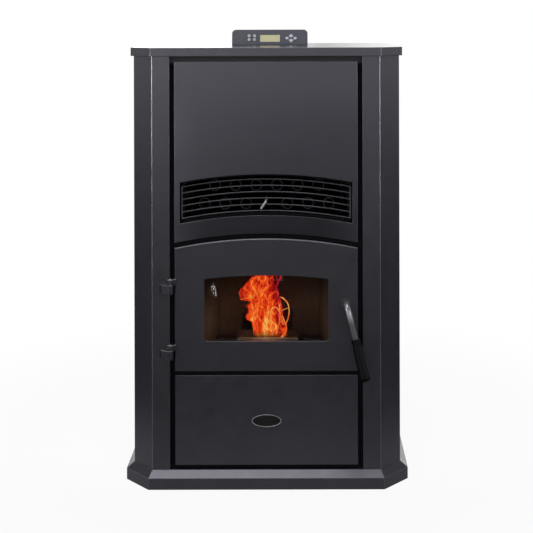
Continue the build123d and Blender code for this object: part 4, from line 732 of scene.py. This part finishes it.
def pot_lip():
    """Guard strip standing on the front rim of the burn pot, its top edges eased."""
    low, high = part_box("burn_pot")
    height, thick, ease, short = 0.0092, 0.0035, 0.0007, 0.002
    front = low[1] + 0.001
    back, top = front + thick, high[2] + height
    profile = [
        (front, high[2]), (front, top - ease), (front + ease, top),
        (back - ease, top), (back, top - ease), (back, high[2]),
    ]
    sections = (
        (low[0] + short, ease), (low[0] + short + ease, 0.0), (high[0] - short - ease, 0.0), (high[0] - short, ease),
    )
    verts, faces, count = [], [], len(profile)
    for x, inset in sections:
        shrink = inset * 0.7
        for y, z in profile:
            verts.append((x, y + (shrink if y < front + thick / 2 else -shrink), z - (shrink if z > high[2] else 0.0)))
    for i in range(len(sections) - 1):
        for k in range(count):
            a, b = i * count + k, i * count + (k + 1) % count
            faces.append((a, b, b + count, a + count))
    faces.append(tuple(range(count))[::-1])
    faces.append(tuple(range(len(verts) - count, len(verts))))
    mesh_piece("pot_lip", verts, faces, looks["lip_iron"], root)


fire()
ember_bed()
pot_lip()


# ---------------------------------------------------------------- console marks

def ring_mark(name, key_node, body):
    """Printed ring on a round key, a hair above its cap."""
    console_lean, hair = math.radians(10), 0.00006
    out = Vector((0, -math.cos(console_lean), math.sin(console_lean)))
    up = Vector((0, math.sin(console_lean), math.cos(console_lean)))
    cap = [v.co for v in nodes[key_node].data.vertices]
    reach = max(v.dot(out) for v in cap)
    face = [v for v in cap if v.dot(out) > reach - 1e-5]
    centre = sum(face, Vector()) / len(face) + out * hair
    # Radius and lift of the lines that a section of the ring goes through.
    section = ((0.0018, 0.0), (0.002, 0.00008), (0.0028, 0.00008), (0.003, 0.0))
    verts, faces, count, lines = [], [], 40, len(section)
    for i in range(count):
        angle = 2 * math.pi * i / count
        way = Vector((1, 0, 0)) * math.cos(angle) + up * math.sin(angle)
        for radius, lift in section:
            verts.append(tuple(centre + way * radius + out * lift))
    for i in range(count):
        for k in range(lines - 1):
            a, b = i * lines + k, ((i + 1) % count) * lines + k
            faces.append((a, a + 1, b + 1, b))
    mesh_piece(name, verts, faces, looks["ring_print"], body)


for number in range(1, 5):
    ring_mark(f"ring_mark_{number}", f"round_key_{number}", f"key_round_{number}")


# ---------------------------------------------------------------- stage

def floor():
    """Pale floor, white to the camera. For light and gloss it is dark in a wide belt before and beside the stove,
    whose faces mirror it."""
    reach = 16
    mesh = bpy.data.meshes.new("floor")
    corners = [(-reach, -reach, 0), (reach, -reach, 0), (reach, reach, 0), (-reach, reach, 0)]
    mesh.from_pydata(corners, [], [(0, 1, 2, 3)])
    piece = add_object("floor", mesh)
    look = Look("floor")
    away = look.node("ShaderNodeVectorMath", {0: look.place}, operation="LENGTH").outputs["Value"]
    near = look.range(away, 0.4, 0.75)
    far = look.range(away, 8.0, 15.0, 1.0, 0.0)
    dark = look.times(look.times(near, far), look.along("Y", 1.4, 0.4))
    beside = look.mix(look.along("Y", -0.28, -0.1), (0.4, 0.4, 0.4), (0.8, 0.8, 0.8))
    look.finish(look.mix(dark, beside, (0.03, 0.03, 0.03)), 0.7)
    seen = look.node("ShaderNodeEmission")
    path = look.node("ShaderNodeLightPath")
    share = look.times(path.outputs["Is Camera Ray"], look.range(away, 0.4, 1.1, 0.93, 1.0))
    both = look.blend(share, look.shader.outputs["BSDF"], seen.outputs["Emission"])
    mesh.materials.append(look.finish_with(both))


def world():
    """White for the camera; for light and gloss, a sky that differs in height, in depth and from left to right."""
    strength = 3.28
    by_height = ((0.0, 1.0), (0.1, 0.8), (0.3, 0.25), (0.55, 0.16), (0.8, 0.2), (1.0, 0.25))
    by_depth = ((0.0, 1.0), (0.55, 0.4), (1.0, 1.0))
    left_to_right = ((0.0, 0.56), (0.25, 0.8), (0.41, 1.25), (0.51, 0.3), (0.62, 1.05), (1.0, 0.74))
    sky = bpy.data.worlds.new("studio")
    sky.use_nodes = True
    sky.node_tree.nodes.clear()
    air = Nodes(sky.node_tree, "Generated")

    def level(value, stops):
        return air.ramp(value, *((position, (grey, grey, grey)) for position, grey in stops))

    for axis, stops in (("Y", by_depth), ("X", left_to_right)):
        strength = air.times(level(air.range(air.part(air.place, axis), -1.0, 1.0), stops), strength)
    colour = level(air.part(air.place, "Z"), by_height)
    lit = air.node("ShaderNodeBackground", {"Color": colour, "Strength": strength})
    white = air.node("ShaderNodeBackground", {"Color": (1.0, 1.0, 1.0)})
    path = air.node("ShaderNodeLightPath")
    seen = air.math("MAXIMUM", path.outputs["Is Camera Ray"], path.outputs["Is Transmission Ray"])
    both = air.blend(seen, lit.outputs["Background"], white.outputs["Background"])
    air.node("ShaderNodeOutputWorld", {"Surface": both})
    bpy.context.scene.world = sky


def lamp(name, place, aim, size, power, gloss_only=False, lean=0.0):
    """Flat lamp that faces a point, turned about its own axis by a lean."""
    light = bpy.data.lights.new(name, "AREA")
    light.shape = "RECTANGLE"
    light.size, light.size_y = size
    light.energy = power
    piece = add_object(name, light)
    piece.visible_diffuse = not gloss_only
    piece.location = place
    turn = (Vector(aim) - Vector(place)).to_track_quat("-Z", "Y").to_matrix() @ Matrix.Rotation(lean, 3, "Z")
    piece.rotation_euler = turn.to_euler()


def fire_light(name, place, power):
    """Warm light of the fire on the firebox, itself unseen in the glass."""
    light = bpy.data.lights.new(name, "POINT")
    light.energy = power
    light.color = (1.0, 0.66, 0.42)
    light.shadow_soft_size = 0.03
    piece = add_object(name, light)
    piece.location = place
    piece.visible_transmission = False
    piece.visible_glossy = False


def camera():
    """Level camera on a tall stand, with the frame shifted down and a little aside."""
    place, yaw = Vector((0.0757, -2.4704, 0.9864)), -0.0026
    data = bpy.data.cameras.new("camera")
    data.sensor_width = 36.0
    data.lens = 70.1
    data.shift_x, data.shift_y = -0.0648, -0.4544
    eye = add_object("camera", data)
    upright = Matrix.Rotation(math.radians(90), 4, "X")
    eye.matrix_world = Matrix.Translation(place) @ upright @ Matrix.Rotation(yaw, 4, "Z")
    bpy.context.scene.camera = eye


floor()
world()
lamp("overhead", place=(-0.25, -0.95, 2.7), aim=(0.0, -0.3, 0.0), size=(1.8, 1.3), power=34)
lamp("left_side", place=(-2.6, -0.2, 1.9), aim=(0.0, 0.0, 0.6), size=(0.8, 1.2), power=4)
lamp("right_side", place=(2.6, -0.2, 1.9), aim=(0.0, 0.0, 0.6), size=(0.8, 1.2), power=3)
# These three show only where a shiny surface mirrors them: the folded edges, and the glint in the glass.
lamp("left_front", place=(-2.6, -2.0, 0.95), aim=(-0.25, -0.1, 0.9), size=(0.8, 1.0), power=46, gloss_only=True)
lamp("right_front", place=(2.5, -2.1, 0.95), aim=(0.25, -0.1, 0.9), size=(0.8, 1.0), power=24, gloss_only=True)
lamp(
    "glass_glint", place=(-0.206, -1.37, 0.129), aim=(-0.11, -0.27, 0.42), size=(0.008, 0.036), power=0.016,
    gloss_only=True, lean=0.3
)
fire_light("fire_glow", place=(-0.01, pot_y - 0.03, fire_z + 0.04), power=0.1)
fire_light("fire_glow_front", place=(0.0, pot_low[1] - 0.022, fire_z + 0.03), power=0.06)
camera()
bpy.context.scene.view_settings.view_transform = "Standard"
